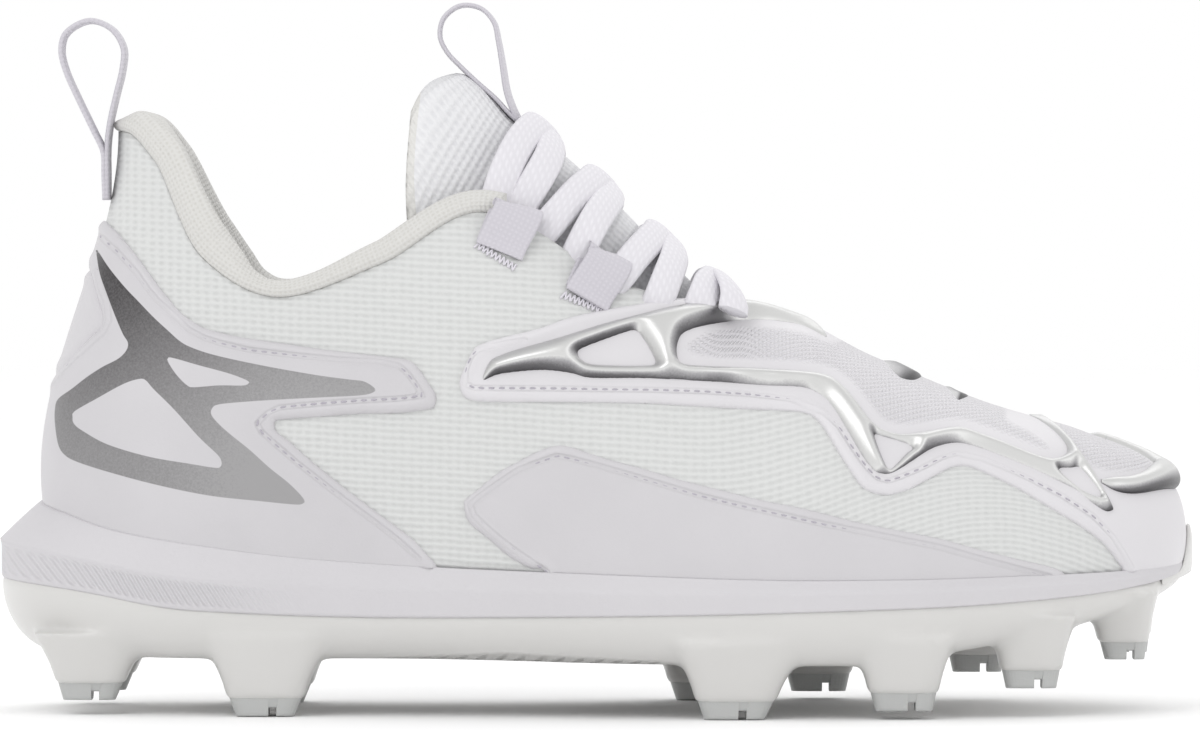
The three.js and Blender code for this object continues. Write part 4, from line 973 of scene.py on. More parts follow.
# %% The overlays
FILM = 0.9
BOTH = (LATERAL, MEDIAL)
heel_stations, heel_shares = np.linspace(0, 0.47, 300), np.linspace(0, 1, 120)
counter = relief_piece(
    "heel_counter_film", [smooth_outline(COUNTER_OUTLINE)] * 2, (), heel_stations, heel_shares,
                       film_height(FILM),
    film_printed, masks={
        "stitch": stitch_mask(COUNTER_STITCH, COUNTER_REAR_STITCH),
        "print": lambda pixels: shape_distance(pixels, smooth_outline(PRINT_OUTLINE),
                                               [smooth_outline(window) for window in PRINT_WINDOWS]),
        "shade": lambda pixels: 0.75 * ease(235, 480, pixels[:, 1]) + 0.45 * ease(110, 330, pixels[:, 0])})
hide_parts("heel_counter")
tab = relief_piece("heel_back_film", [smooth_outline(TAB_OUTLINE)] * 2, (), np.linspace(0, 0.16, 110),
                   heel_shares,
                   film_height(0.7), film_plain,
                   masks={"stitch": lambda pixels: pixels[:, 0] * 0 + 9})
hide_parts("heel_back_tab")
toe_stations, toe_shares = np.linspace(0.42, 1, 400), np.linspace(0, 1, 110)
toe_film = relief_piece(
    "toe_film", [smooth_outline(TOE_OUTLINE)] * 2, (), toe_stations, toe_shares, film_height(FILM),
                        film_dotted,
    masks={"stitch": stitch_mask(TOE_STITCH),
                           "dotted": lambda pixels: shape_distance(pixels, smooth_outline(DOTTED_OUTLINE))})
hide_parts("toe_overlay")
wrap = relief_piece("side_wrap_film", [smooth_outline(WRAP_OUTLINE)] * 2, (), np.linspace(0.42, 0.86, 330),
                    np.linspace(0, 0.6, 90), film_height(0.6), film_plain,
                    masks={"stitch": stitch_mask(WRAP_STITCH)})
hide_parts("side_wrap_outer", "side_wrap_inner")

# %% [markdown]
# The silver frame is the shoe's most striking piece: rounded bars about two millimetres proud, merging
# where they cross. A dome over the distance to the edge gives just that: every bar is round across, and
# where bars meet the domes flow into each other. A little smoothing takes the crease off their crests.

# %% The silver trim
trim = relief_piece(
    "silver_frame_trim", [smooth_outline(FRAME_OUTLINE, 4)] * 2,
                    [smooth_outline(window, 4) for window in FRAME_WINDOWS],
    np.linspace(0.44, 0.88, 620), np.linspace(0.25, 1, 190), domed_height(FILM + 0.2, FILM + 2.5, 2.9),
                    silver,
    foot=0.3, smooth=30)
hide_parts("silver_frame_outer", "silver_frame_inner", "silver_fin_outer", "silver_fin_inner")
# The ridge accents use the darker tint ramp, painted shade of their facets turned away from the light.
for number, outline in enumerate(RIDGE_ACCENTS, 1):
    relief_piece(f"silver_accent_{number}", [smooth_outline(outline, 4)] * 2, (),
                 np.linspace(0.66, 0.86, 200),
                 np.linspace(0.5, 1, 120), domed_height(FILM - 0.2, FILM + 1.1, 2.2), silver_with_painted_shade,
                 foot=0.3, smooth=6)

# %% [markdown]
# The films are sewn on through the seam groove near their edge. What shows of each stitch is a dash of
# thread about a millimetre long, a little darker than the film for the shadow in its needle holes. Each
# dash is a tiny bead laid on the surface; all dashes of the shoe make one piece.

# %% Material and pieces: stitches
def thread_material():
    """Plain twisted polyester: matt, cool grey, darker than the film as painted shade of its needle holes."""
    return new_material("twisted_thread", {"Base Color": linear("#B0ACB5"), "Roughness": 0.7,
                                           "IOR": 1.5})[0]


def wall_place(pixels):
    """Station and share of the outer wall seen at photo places: the nearest of a coarse grid, then four
    Newton steps with slopes taken by small differences."""
    s, v = np.meshgrid(np.linspace(0, 1, 240), np.linspace(0, 1, 60), indexing="ij")
    coarse = photo_place(wall(LATERAL, s, v)).reshape(-1, 2)
    nearest = np.argmin(np.linalg.norm(pixels[:, None] - coarse[None], axis=-1), axis=1)
    s, v = s.ravel()[nearest], v.ravel()[nearest]
    small = 1e-4
    for _ in range(4):
        here = photo_place(wall(LATERAL, s, v))
        by_s = (photo_place(wall(LATERAL, s + small, v)) - here) / small
        by_v = (photo_place(wall(LATERAL, s, v + small)) - here) / small
        miss = pixels - here
        whole = by_s[:, 0] * by_v[:, 1] - by_s[:, 1] * by_v[:, 0]
        whole = np.where(np.abs(whole) < 1, 1, whole)
        s = s + np.clip((miss[:, 0] * by_v[:, 1] - miss[:, 1] * by_v[:, 0]) / whole, -0.01, 0.01)
        v = v + np.clip((by_s[:, 0] * miss[:, 1] - by_s[:, 1] * miss[:, 0]) / whole, -0.02, 0.02)
        s, v = np.clip(s, 0, 0.999), np.clip(v, 0, 0.999)
    return s, v


def spread_line(line, pitch):
    """Points along a photo line at an even pitch in mm."""
    line = np.asarray(line, float)
    length = np.concatenate([[0], np.linalg.norm(np.diff(line, axis=0), axis=1).cumsum()])
    at = np.arange(0, length[-1], pitch / PIXEL)
    return np.stack([np.interp(at, length, line[:, i]) for i in (0, 1)], axis=-1)


def dashes(side, line, pitch, size, lift):
    """A bead at each pitch: a six-sided bar, pointed at both ends, lying along the line on the surface."""
    s, v = wall_place(spread_line(line, pitch))
    point = skin(side, s, v, lift)
    run = unit(np.gradient(point, axis=0))
    normal = unit(skin(side, s, v, lift + 1) - point)
    across = np.cross(normal, run)
    long, wide, high = size
    ring = np.array([[along, share * np.cos(turn), share * np.sin(turn)]
                     for along, share in ((-1, 0.35), (-0.6, 1), (0.6, 1),
                                          (1, 0.35)) for turn in np.arange(6) * np.pi / 3])
    beads = (point[:, None] + run[:, None] * ring[None, :, :1] * long / 2 + across[:, None] * ring[None, :,
        1:2] * wide
             + normal[:, None] * ring[None, :, 2:] * high)
    sides = np.array([[i * 6 + k, i * 6 + (k + 1) % 6, i * 6 + 6 + (k + 1) % 6, i * 6 + 6 + k]
                      for i in range(3) for k in range(6)])
    ends = np.array([[0, 5, 4, 3], [0, 3, 2, 1], [18, 19, 20, 21], [18, 21, 22, 23]])
    faces = np.concatenate([sides, ends])[None] + np.arange(len(point))[:, None, None] * 24
    return beads.reshape(-1, 3), faces.reshape(-1, 4)


thread = thread_material()
STITCH_LINES = [(COUNTER_STITCH, FILM), (COUNTER_REAR_STITCH, FILM), (TOE_STITCH, FILM), (WRAP_STITCH, 0.6)]
STITCH_PITCH, STITCH_SIZE = 2.1, (1.25, 0.20, 0.16)
points, faces = join_parts([dashes(side, line, STITCH_PITCH, STITCH_SIZE, lift + 0.04)
                            for line, lift in STITCH_LINES for side in (LATERAL, MEDIAL)])
make_piece("film_stitches", points, faces, thread)
print("stitches:", len(faces) // 22)

# %% [markdown]
# The sole is made of rings round the plan outline. A ring grows the feather line outward by a margin and
# sits at a height that changes along the shoe. Rings joined one above another give the foam midsole with
# its bevelled heel, and below the parting line the moulded plate.

# %% Rings of the sole
SOLE_COLUMNS = ["along", "margin", "parting", "plate", "tuck"]
SOLE_ROWS = [
    [0.000, 0.050, 0.670, 0.34, 0.150],
    [0.050, 0.050, 0.622, 0.28, 0.130],
    [0.166, 0.040, 0.502, 0.27, 0.090],
    [0.330, 0.030, 0.470, 0.27, 0.090],
    [0.530, 0.030, 0.485, 0.255, 0.085],
    [0.700, 0.030, 0.513, 0.25, 0.080],
    [0.790, 0.030, 0.532, 0.31, 0.080],
    [0.890, 0.026, 0.572, 0.41, 0.080],
    [0.950, 0.020, 0.618, 0.50, 0.080],
    [1.000, 0.006, 0.69, 0.60, 0.060],
]
SOLE = {name: np.array([row[i] for row in SOLE_ROWS]) for i, name in enumerate(SOLE_COLUMNS)}
RING_STATIONS = np.linspace(0, 1, 221)


def sole(column, along):
    """One column of the sole at any place along."""
    return curve(SOLE["along"], SOLE[column], along)


def margin_at(along):
    """How far the sole stands out beyond the upper, with the heel's extra flare."""
    return (sole("margin", along) + 0.066 * (1 - ease(0.03, 0.10, along))) * BALL_WIDTH


def ring(grow, height):
    """Closed loop: the outer side's feather line from heel to toe, back along the inner side, each point
    moved out by grow(along) and set to height(along)."""
    loops = []
    for side in (LATERAL, MEDIAL):
        station = RING_STATIONS if side == LATERAL else RING_STATIONS[-2:0:-1]
        along = along_of(station)
        points = rim_point(side, station) + outward_at(side, station) * grow(along)[..., None]
        points[..., 2] = height(along, station)
        loops.append(points)
    return np.concatenate(loops)


def feather_at(along, station):
    """Height of the feather line."""
    return last("feather", station) * SOLE_HEIGHT


def ring_piece_points(profile):
    """Stack of rings from a profile of (grow, height) rules, from the top ring down."""
    return np.stack([ring(grow, height) for grow, height in profile], axis=1)


def ring_faces(count, rows, close=True):
    """Quads of a stack of rings, and a strip across each end that pairs points over the shoe's middle."""
    index = np.arange(count * rows).reshape(count, rows)
    following = np.roll(index, -1, axis=0)
    side = np.stack([index[:, :-1], index[:, 1:], following[:, 1:], following[:, :-1]], axis=-1).reshape(-1,
        4)
    if not close:
        return side
    half = count // 2
    k = np.arange(half)
    pairs = np.stack([k, k + 1, (count - k - 1) % count, (count - k) % count], axis=-1)
    top, low = index[pairs, 0], index[pairs, -1][:, ::-1]
    return np.concatenate([side, top, low])


def midsole_row(share):
    """One row of the midsole, share 0 at the top and 1 at the parting line. It swells from the upper's edge
    to the ridge at 0.5 and then stands nearly upright. The ridge fades out ahead of the heel."""
    def grow(along):
        heel = 1 - ease(0.10, 0.22, along)
        slope = mix(ease(0, 0.5, share) ** 0.8, min(share / 0.5, 1.0) ** 0.92, heel)
        hollow = 0.25 * heel * ease(0.50, 0.58, share)
        return mix(0.9, margin_at(along), slope) - hollow - 0.3 * ease(0.95, 1.0, share) ** 2

    def height(along, station):
        top, low = feather_at(along, station) + 0.2, sole("parting", along) * SOLE_HEIGHT + GAP / 2
        return mix(top, low, share)
    return grow, height


# %% [markdown]
# The midsole is moulded foam: matt, slightly violet white, with a skin that shows faint flow ribs round the
# heel. The ribs run slanting between the ridge and the parting line and fade out under the arch.

# %% The midsole
def foam_material():
    """Matt foam skin: fine noise bump, slanting ribs near the heel, faint tone changes."""
    material, shader = new_material("moulded_eva_foam", {
        "Roughness": 0.62, "IOR": 1.45, "Subsurface Weight": 0.05,
                                                         "Subsurface Radius": (0.003, 0.003, 0.003)})
    coordinates = add_node(material, "ShaderNodeTexCoord")
    fine = add_node(material, "ShaderNodeMapping", {"Vector": coordinates.outputs["Object"],
                                                    "Scale": (1000, 1000, 1000)})
    noise = add_node(material, "ShaderNodeTexNoise", {"Vector": fine.outputs["Vector"], "Scale": 1.2,
                                                      "Detail": 4.0})
    slanted = surface_wave(material, 10 / 1.35, 10 / 1.35, np.radians(62))
    ribs = add_node(material, "ShaderNodeTexWave", {"Vector": slanted.outputs["Vector"], "Scale": 0.314},
                    wave_type="BANDS", bands_direction="Y")
    zone = add_node(material, "ShaderNodeAttribute", attribute_name="ribbed")
    shown = add_node(material, "ShaderNodeMath", {0: ribs.outputs["Fac"], 1: zone.outputs["Fac"]},
                     operation="MULTIPLY")
    height = add_node(material, "ShaderNodeMath", {0: noise.outputs["Fac"], 1: 0.2, 2: shown.outputs[0]},
                      operation="MULTIPLY_ADD")
    bump = add_node(material, "ShaderNodeBump", {"Height": height.outputs[0], "Distance": 0.32 * MM,
                                                 "Strength": 1.0})
    link(material, bump.outputs["Normal"], shader, "Normal")
    wide = add_node(material, "ShaderNodeTexNoise", {"Vector": fine.outputs["Vector"], "Scale": 0.03,
                                                     "Detail": 2.0})
    tone = add_node(material, "ShaderNodeMix", {
        "Factor": wide.outputs["Fac"], "A": linear("#C6C4C7"), "B": linear("#CDCBCE")}, data_type="RGBA")
    link(material, tone.outputs["Result"], shader, "Base Color")
    return material


foam = foam_material()
MIDSOLE_ROWS = np.linspace(0, 1, 41)
profile = [(lambda along: np.full_like(along, -1.2), lambda along,
            station: feather_at(along, station) - GAP)]
profile += [midsole_row(share) for share in MIDSOLE_ROWS]
stack = ring_piece_points(profile)
ring_count, row_count = stack.shape[:2]
ring_along = np.concatenate([along_of(RING_STATIONS), along_of(RING_STATIONS[-2:0:-1])])
down = np.concatenate([[0.0], MIDSOLE_ROWS])
midsole_uv = np.stack(np.broadcast_arrays((ring_along * SHOE_LENGTH / 10)[:, None], -down[None] * 1.6),
                      axis=-1)
ribbed = (1 - ease(0.16, 0.27, ring_along))[:, None] * (ease(0.54, 0.60,
    down) * (1 - ease(0.88, 0.95, down)))[None]
midsole = make_piece("midsole_foam", stack.reshape(-1, 3), ring_faces(ring_count, row_count), foam,
                     uv=midsole_uv.reshape(-1, 2), masks={"ribbed": ribbed})
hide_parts("midsole")

# %% [markdown]
# The plate and its studs are one moulding in clear-white plastic. Rings give the plate, and each stud is a
# stack of rounded rectangles that flares into it. A voxel remesh then melts plate and studs into one skin,
# and a smoothing pass rounds every root like the fillet that a mould needs.

# %% The plate and its studs
STUD_COLUMNS = ["along", "tip", "back", "front", "across", "depth", "rise", "inward"]
STUD_ROWS = [
    [0.077, 0.125, 0.130, 0.160, 0.66, 0.110, 0.035, 0.000],
    [0.224, 0.140, 0.155, 0.165, 0.76, 0.110, 0.000, 0.000],
    [0.610, 0.145, 0.150, 0.185, 0.80, 0.110, 0.000, 0.020],
    [0.749, 0.135, 0.130, 0.120, 0.80, 0.110, 0.020, 0.062],
    [0.855, 0.120, 0.110, 0.105, 0.74, 0.100, 0.070, 0.033],
    [0.936, 0.095, 0.110, 0.075, 0.52, 0.095, 0.130, -0.010],
]
STUD_NAMES = ["heel_rear", "heel_front", "ball_rear", "ball_middle", "ball_front", "toe"]
STUDS = {name: np.array([row[i] for row in STUD_ROWS]) for i, name in enumerate(STUD_COLUMNS)}
TIP_HEIGHT, NOTCH_WIDTH, NOTCH_HEIGHT = 4.3, 1.6, 1.8


def plate_row(share):
    """One row of the plate: share 0 at the parting line, 1 at the underside's edge, tucked in on a round. A
    row below 0 lies inside the midsole and keeps the parting line closed."""
    def grow(along):
        side = margin_at(along) - 0.35 - sole("tuck", along) * BALL_WIDTH * (1 - np.cos(max(share,
            0) * np.pi / 2))
        return side - 1.6 * (share < 0)

    def height(along, station):
        level = mix(sole("parting", along), sole("plate", along),
                    np.sin(max(share, 0) * np.pi / 2)) * SOLE_HEIGHT
        return level + 2.2 * (share < 0)
    return grow, height


def rounded_loop(x, y, back, front, depth, z, count=40, square=0.5):
    """Superellipse: cosine and sine, each raised to a power that squares the corners."""
    angle = (np.arange(count) + 0.5) / count * 2 * np.pi
    c, s = np.cos(angle), np.sin(angle)
    c, s = np.sign(c) * np.abs(c) ** square, np.sign(s) * np.abs(s) ** square
    return np.stack([x + c * np.where(c > 0, front, back), y + s * depth / 2, np.full(count, z)], axis=-1)


def stud_place(row, side):
    """Where a stud stands, with its floor and its joint to the plate."""
    along = STUDS["along"][row] - (STUDS["inward"][row] if side == MEDIAL else 0)
    station = station_of(along)
    edge = rim_point(side, station)[1] + side * margin_at(along)
    floor = STUDS["rise"][row] * BALL_WIDTH
    return along, x_at(along), edge * STUDS["across"][row], floor, floor + TIP_HEIGHT


JOINT_GROWN = 0.22
MELT = 0.45  # what the smoothing below takes off a stud all round


def stud_reach(row, grown):
    """Half-lengths to the rear and to the front, between the tip's foot and the root by the grown share."""
    foot = STUDS["tip"][row] * BALL_WIDTH / 2
    return mix(foot, STUDS["back"][row] * BALL_WIDTH, grown), mix(foot, STUDS["front"][row] * BALL_WIDTH,
        grown)


def stud_body(row, side):
    """Loops from inside the plate down to the joint. The length shrinks on a slightly hollow curve, and the
    outer face starts flush with the plate's side and leans in to the tip's."""
    along, x, y, floor, joint = stud_place(row, side)
    depth = STUDS["depth"][row] * BALL_WIDTH
    root = sole("plate", along) * SOLE_HEIGHT + 5.0
    edge = rim_point(side, station_of(along))[1] + side * (margin_at(along) - 0.5)
    loops = []
    for t in np.linspace(0, 1, 16):
        grown = JOINT_GROWN + (1.05 - JOINT_GROWN) * (1 - t) ** 1.5
        outer = mix(edge, y + side * depth * 0.52, t ** 0.8)
        inner = y - side * depth * (0.52 + 0.35 * (1 - t) ** 2)
        back, front = stud_reach(row, grown)
        loops.append(rounded_loop(x, (outer + inner) / 2, back + MELT, front + MELT,
                                  abs(outer - inner) + 2 * MELT,
                                  mix(root, joint - 2 * MELT, t)))
    return np.stack(loops)


def closed_stack(loops):
    """Loops stacked from the top down with a point in the middle of each end: (points, quads, triangles)."""
    rows, count = loops.shape[:2]
    index = np.arange(rows * count).reshape(rows, count)
    nxt = np.roll(index, -1, axis=1)
    quads = np.stack([index[:-1], index[1:], nxt[1:], nxt[:-1]], axis=-1).reshape(-1, 4)
    points = np.concatenate([loops.reshape(-1, 3), loops[0].mean(0, keepdims=True),
                             loops[-1].mean(0, keepdims=True)])
    top = np.stack([index[0], nxt[0], np.full(count, rows * count)], axis=-1)
    low = np.stack([nxt[-1], index[-1], np.full(count, rows * count + 1)], axis=-1)
    return points, quads, np.concatenate([top, low])


def plastic_material():
    """Clear-white moulded plastic: satin gloss, faintly see-through at thin edges. Under the arch, a zone cut
    by object place carries slanting ribs in the bump and a darker colour, painted shade of the recess there."""
    material, shader = new_material("moulded_white_plastic", {
        "IOR": 1.5, "Subsurface Weight": 0.25, "Subsurface Radius": (0.004, 0.004, 0.004),
        "Coat Weight": 0.2, "Coat Roughness": 0.2})
    coordinates = add_node(material, "ShaderNodeTexCoord")
    fine = add_node(material, "ShaderNodeMapping", {"Vector": coordinates.outputs["Object"],
                                                    "Scale": (1000, 1000, 1000)})
    cloud = add_node(material, "ShaderNodeTexNoise", {"Vector": fine.outputs["Vector"], "Scale": 0.03,
                                                      "Detail": 1.0})
    rough = add_node(material, "ShaderNodeMapRange", {"Value": cloud.outputs["Fac"], "To Min": 0.28,
                                                      "To Max": 0.34})
    link(material, rough.outputs["Result"], shader, "Roughness")
    tone = add_node(material, "ShaderNodeMix", {
        "Factor": cloud.outputs["Fac"], "A": linear("#CDCCCA"), "B": linear("#D1D0CE")}, data_type="RGBA")
    place = add_node(material, "ShaderNodeSeparateXYZ", {"Vector": fine.outputs["Vector"]})
    centred = add_node(material, "ShaderNodeMath", {0: place.outputs["X"], 1: 19.0}, operation="ADD")
    away = add_node(material, "ShaderNodeMath", {0: centred.outputs[0]}, operation="ABSOLUTE")
    along = add_node(material, "ShaderNodeMapRange", {"Value": away.outputs[0], "From Min": 36.0,
                                                      "From Max": 30.0})
    rise = add_node(material, "ShaderNodeMath", {0: away.outputs[0], 1: -0.05, 2: 13.6},
                    operation="MULTIPLY_ADD")
    under = add_node(material, "ShaderNodeMath", {0: rise.outputs[0], 1: place.outputs["Z"]},
                     operation="SUBTRACT")
    low = add_node(material, "ShaderNodeMapRange", {"Value": under.outputs[0], "From Min": 0.0,
                                                    "From Max": 0.6})
    zone = add_node(material, "ShaderNodeMath", {0: along.outputs["Result"], 1: low.outputs["Result"]},
                    operation="MULTIPLY")
    ribs = add_node(material, "ShaderNodeTexWave", {"Vector": fine.outputs["Vector"], "Scale": 0.2},
                    wave_type="BANDS", bands_direction="DIAGONAL")
    shown = add_node(material, "ShaderNodeMath", {0: ribs.outputs["Fac"], 1: zone.outputs[0]},
                     operation="MULTIPLY")
    # Painted shade: the arch zone darkens towards #B9B8B6, standing in for the shade in the recess under the
    # arch.
    shaded = add_node(material, "ShaderNodeMix", {
        "Factor": zone.outputs[0], "A": tone.outputs["Result"], "B": linear("#B9B8B6")}, data_type="RGBA")
    link(material, shaded.outputs["Result"], shader, "Base Color")
    bump = add_node(material, "ShaderNodeBump", {"Height": shown.outputs[0], "Distance": 0.6 * MM,
                                                 "Strength": 1.0})
    link(material, bump.outputs["Normal"], shader, "Normal")
    return material


plastic = plastic_material()
plate_rows = [plate_row(share) for share in (-1, *np.linspace(0, 1, 14))]
plate = ring_piece_points(plate_rows)
plate_points, plate_faces = plate.reshape(-1, 3), ring_faces(*plate.shape[:2])
points, quads, triangles, offset = [plate_points], [plate_faces], [], len(plate_points)
for side in BOTH:
    for row in range(len(STUD_NAMES)):
        body_points, body_quads, body_triangles = closed_stack(stud_body(row, side))
        points.append(body_points)
        quads.append(body_quads + offset)
        triangles.append(body_triangles + offset)
        offset += len(body_points)
outsole = make_piece("outsole_plastic", np.concatenate(points),
                     [np.concatenate(quads), np.concatenate(triangles)],
                     plastic)


work = bmesh.new()
work.from_mesh(outsole.data)
bmesh.ops.recalc_face_normals(work, faces=work.faces)
work.to_mesh(outsole.data)
work.free()
remesh = outsole.modifiers.new("melt", "REMESH")
remesh.mode, remesh.voxel_size, remesh.use_smooth_shade = "VOXEL", 0.8 * MM, True
smooth = outsole.modifiers.new("fillets", "SMOOTH")
smooth.factor, smooth.iterations = 0.5, 14
apply_modifiers(outsole)
print("outsole faces after the melt:", len(outsole.data.polygons))
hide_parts("outsole")

# %% [markdown]
# Padded pieces are fabric skins blown up by foam. A cloth simulation gives them the fullness and the small
# strains at seams that a smooth surface lacks: the skin is held along its seams, a little air pressure
# swells it, and gravity is off. The move of each point is capped, so the pad stays where it belongs. The
# grids here are already even quads a few millimetres wide, so no voxel remesh is needed first.

# %% Cloth simulation of padding
def swell(piece, held, pressure, cap, frames=20):
    """Simulates the skin as cloth under pressure with the held points fixed, then writes the capped result
    into the mesh, so no cloth modifier is left."""
    mesh = piece.data
    before = np.empty(len(mesh.vertices) * 3)
    mesh.vertices.foreach_get("co", before)
    group = piece.vertex_groups.new(name="held")
    group.add([int(i) for i in np.nonzero(held)[0]], 1.0, "REPLACE")
    cloth = piece.modifiers.new("padding", "CLOTH")
    cloth.settings.vertex_group_mass = "held"
    cloth.settings.use_pressure = True
    cloth.settings.uniform_pressure_force = pressure
    cloth.settings.effector_weights.gravity = 0
    cloth.settings.mass = 0.15
    cloth.settings.tension_stiffness = 12
    cloth.settings.bending_stiffness = 0.3
    cloth.point_cache.frame_start, cloth.point_cache.frame_end = 1, frames
    scene = bpy.context.scene
    for number in range(1, frames + 1):
        scene.frame_set(number)
    evaluated = piece.evaluated_get(bpy.context.evaluated_depsgraph_get())
    after = np.empty_like(before)
    evaluated.data.vertices.foreach_get("co", after)
    move = (after - before).reshape(-1, 3)
    length = np.linalg.norm(move, axis=1, keepdims=True)
    move *= np.minimum(1, cap * MM / np.maximum(length, 1e-9))
    piece.modifiers.clear()
    piece.vertex_groups.clear()
    mesh.vertices.foreach_set("co", before + move.ravel())
    mesh.update()
    scene.frame_set(1)
    print(piece.name, "swelled by up to mm:", round(float(np.minimum(length, cap * MM).max()) * 1000, 2))


# %% [markdown]
# The collar lining is a soft warm-white mesh fabric. It starts at the seam on the upper's edge, rolls over
# foam and runs down the inside. Seen from the side the roll is an offset of the seam, so it must grow at
# right angles to the edge, within the wall: where the collar dives down it swells forward, not up.

# %% Material: collar lining fabric
lining_fabric = knit_material("warm_white_lining_mesh", "#D3D2CF", "#C6C4BF", 1.0, 1.0, 0.1)

# %% The collar lining
ROLL_ALONG = [0.097, 0.115, 0.140, 0.165, 0.190, 0.210, 0.228, 0.266, 0.316, 0.350, 0.401]
ROLL_RISE = [3.0, 5.6, 7.4, 8.0, 6.4, 4.2, 3.5, 3.7, 4.8, 5.2, 5.0]
LINING_THICKNESS, LINING_DROP = 5.0, 28.0


def smooth_loop(points, count):
    """Resamples a closed loop of control points, given on axis 0, by a cubic through four neighbours."""
    size = len(points)
    at = np.linspace(0, size, count, endpoint=False)
    i, t = at.astype(int), (at % 1)
    t = t.reshape((-1,) + (1,) * (points.ndim - 1))
    a, b, c, d = (points[(i + shift) % size] for shift in (-1, 0, 1, 2))
    return b + 0.5 * t * (c - a + t * (2 * a - 5 * b + 4 * c - d + t * (3 * (b - c) + d - a)))


def lining_section(side, station):
    """Control points of the lining round its section, for all stations at once: over the roll, down the
    inside face, and back up against the wall. Rise is within the wall, square to the edge."""
    edge = top_point(side, station)
    out = outward_at(side, station)
    upward = unit(wall(side, station, 1.0) - wall(side, station, 0.97))
    run = unit(top_point(side, np.minimum(station + 0.01, 1)) - top_point(side,
        np.maximum(station - 0.01, 0)))
    square = unit(upward - np.sum(upward * run, axis=-1, keepdims=True) * run)
    ahead = last("top_along", station)
    roll = curve(ROLL_ALONG, ROLL_RISE, ahead)[..., None]
    thick = (LINING_THICKNESS * mix(1, 0.34, ease(0.25, 0.36, ahead)))[..., None]
    inside = UPPER_WALL + 2 * GAP
    length = np.linalg.norm(edge - rim_point(side, station), axis=-1) * 1.08

    def above(away, rise):
        return edge + out * away + square * rise

    def below(away, drop):
        return wall(side, station, 1 - drop / length) + out * away

    return np.stack([
        above(-GAP, 0.0), above(0.9, roll * 0.25), above(0.9, roll * 0.6), above(-0.2 * thick, roll * 0.92),
        above(-0.6 * inside - 0.2 * thick, roll), above(-inside - thick * 0.7, roll * 0.82),
        above(-inside - thick * 1.05, roll * 0.3), below(-inside - thick * 1.08, 5),
        below(-inside - thick, 12), below(-inside - thick * 0.7, 19),
                     below(-inside - thick * 0.3, LINING_DROP - 1),
        below(-inside - 0.4, LINING_DROP), below(-inside, 18), below(-inside, 8), above(-inside, 0.6),
    ])


LINING_AROUND = 44
collar_stations = np.linspace(0, float(THROAT_REAR) + 0.012, 92)
sections = [lining_section(LATERAL, collar_stations[::-1]), lining_section(MEDIAL, collar_stations[1:])]
lining_points = smooth_loop(np.concatenate(sections, axis=1), LINING_AROUND)
lining_loops = lining_points.transpose(1, 0, 2)
points, quads, triangles = closed_stack(lining_loops)
around = np.linalg.norm(np.diff(lining_loops, axis=1, append=lining_loops[:, :1]), axis=-1).cumsum(axis=1)
along = np.linalg.norm(np.diff(lining_loops[:, 4], axis=0, prepend=lining_loops[:1, 4]), axis=-1).cumsum()
lining_uv = np.stack([np.broadcast_to(along[:, None], around.shape), around], axis=-1).reshape(-1, 2) / 10
lining_uv = np.concatenate([lining_uv, lining_uv[:1], lining_uv[-1:]])
lining = make_piece("collar_lining_padded", points, [quads[:, ::-1], triangles[:, ::-1]], lining_fabric,
                    uv=lining_uv)
ring_place = np.tile(np.arange(LINING_AROUND), len(lining_loops))
held = np.concatenate([(ring_place < 3) | (ring_place > 22), [True, True]])
ends = np.zeros(len(points), bool)
ends[:LINING_AROUND * 2] = ends[-LINING_AROUND * 2 - 2:] = True
swell(lining, held | ends, 2.0, 1.2)
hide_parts("collar_lining")

# %% [markdown]
# The tongue is padded too: a stiff fabric front, foam, and a soft lining that wraps round its edge as a
# pale band. Its sections run from inside the vamp to above the collar. Each is a quarter-sine arch from the
# ridge down to the side edges, and front and back meet round the edge like a pillow.

# %% The tongue
TONGUE_COLUMNS = ["part", "ridge_along", "ridge_height", "edge_along", "edge_height", "half"]
TONGUE_ROWS = [
    [0.00, 0.665, 0.830, 0.640, 0.700, 0.50],
    [0.15, 0.624, 0.935, 0.585, 0.700, 0.66],
    [0.32, 0.575, 1.010, 0.515, 0.680, 0.76],
    [0.50, 0.522, 1.035, 0.450, 0.640, 0.74],
    [0.66, 0.474, 1.030, 0.400, 0.640, 0.68],
    [0.80, 0.433, 1.028, 0.352, 0.720, 0.66],
    [0.92, 0.400, 1.082, 0.339, 0.900, 0.66],
    [1.00, 0.386, 1.104, 0.345, 1.078, 0.60],
]
TONGUE = {name: np.array([row[i] for row in TONGUE_ROWS]) for i, name in enumerate(TONGUE_COLUMNS)}
TONGUE_THICKNESS = 6.0
EDGE_BAND = 4.5


def tongue_point(part, across, depth=0.0):
    """Ridge and edge blended by one minus the cosine across, half-width by the sine, and depth inward."""
    part, across, depth = np.broadcast_arrays(*[np.asarray(value, float) for value in (part, across,
        depth)])

    def at(column):
        return curve(TONGUE["part"], TONGUE[column], part)

    zero = np.zeros_like(part)
    ridge = np.stack([x_at(at("ridge_along")), zero, at("ridge_height") * height_at(at("ridge_along"))],
                     axis=-1)
    edge = np.stack([x_at(at("edge_along")), zero, at("edge_height") * height_at(at("edge_along"))],
                    axis=-1)
    angle = across * np.pi / 2
    point = ridge + (edge - ridge) * (1 - np.cos(angle))[..., None]
    point = point + unit(edge - ridge) * (depth * np.cos(angle))[..., None]
    point[..., 1] += at("half") * HEEL_WIDTH / 2 * np.sin(angle) - np.sin(angle) * depth
    return point


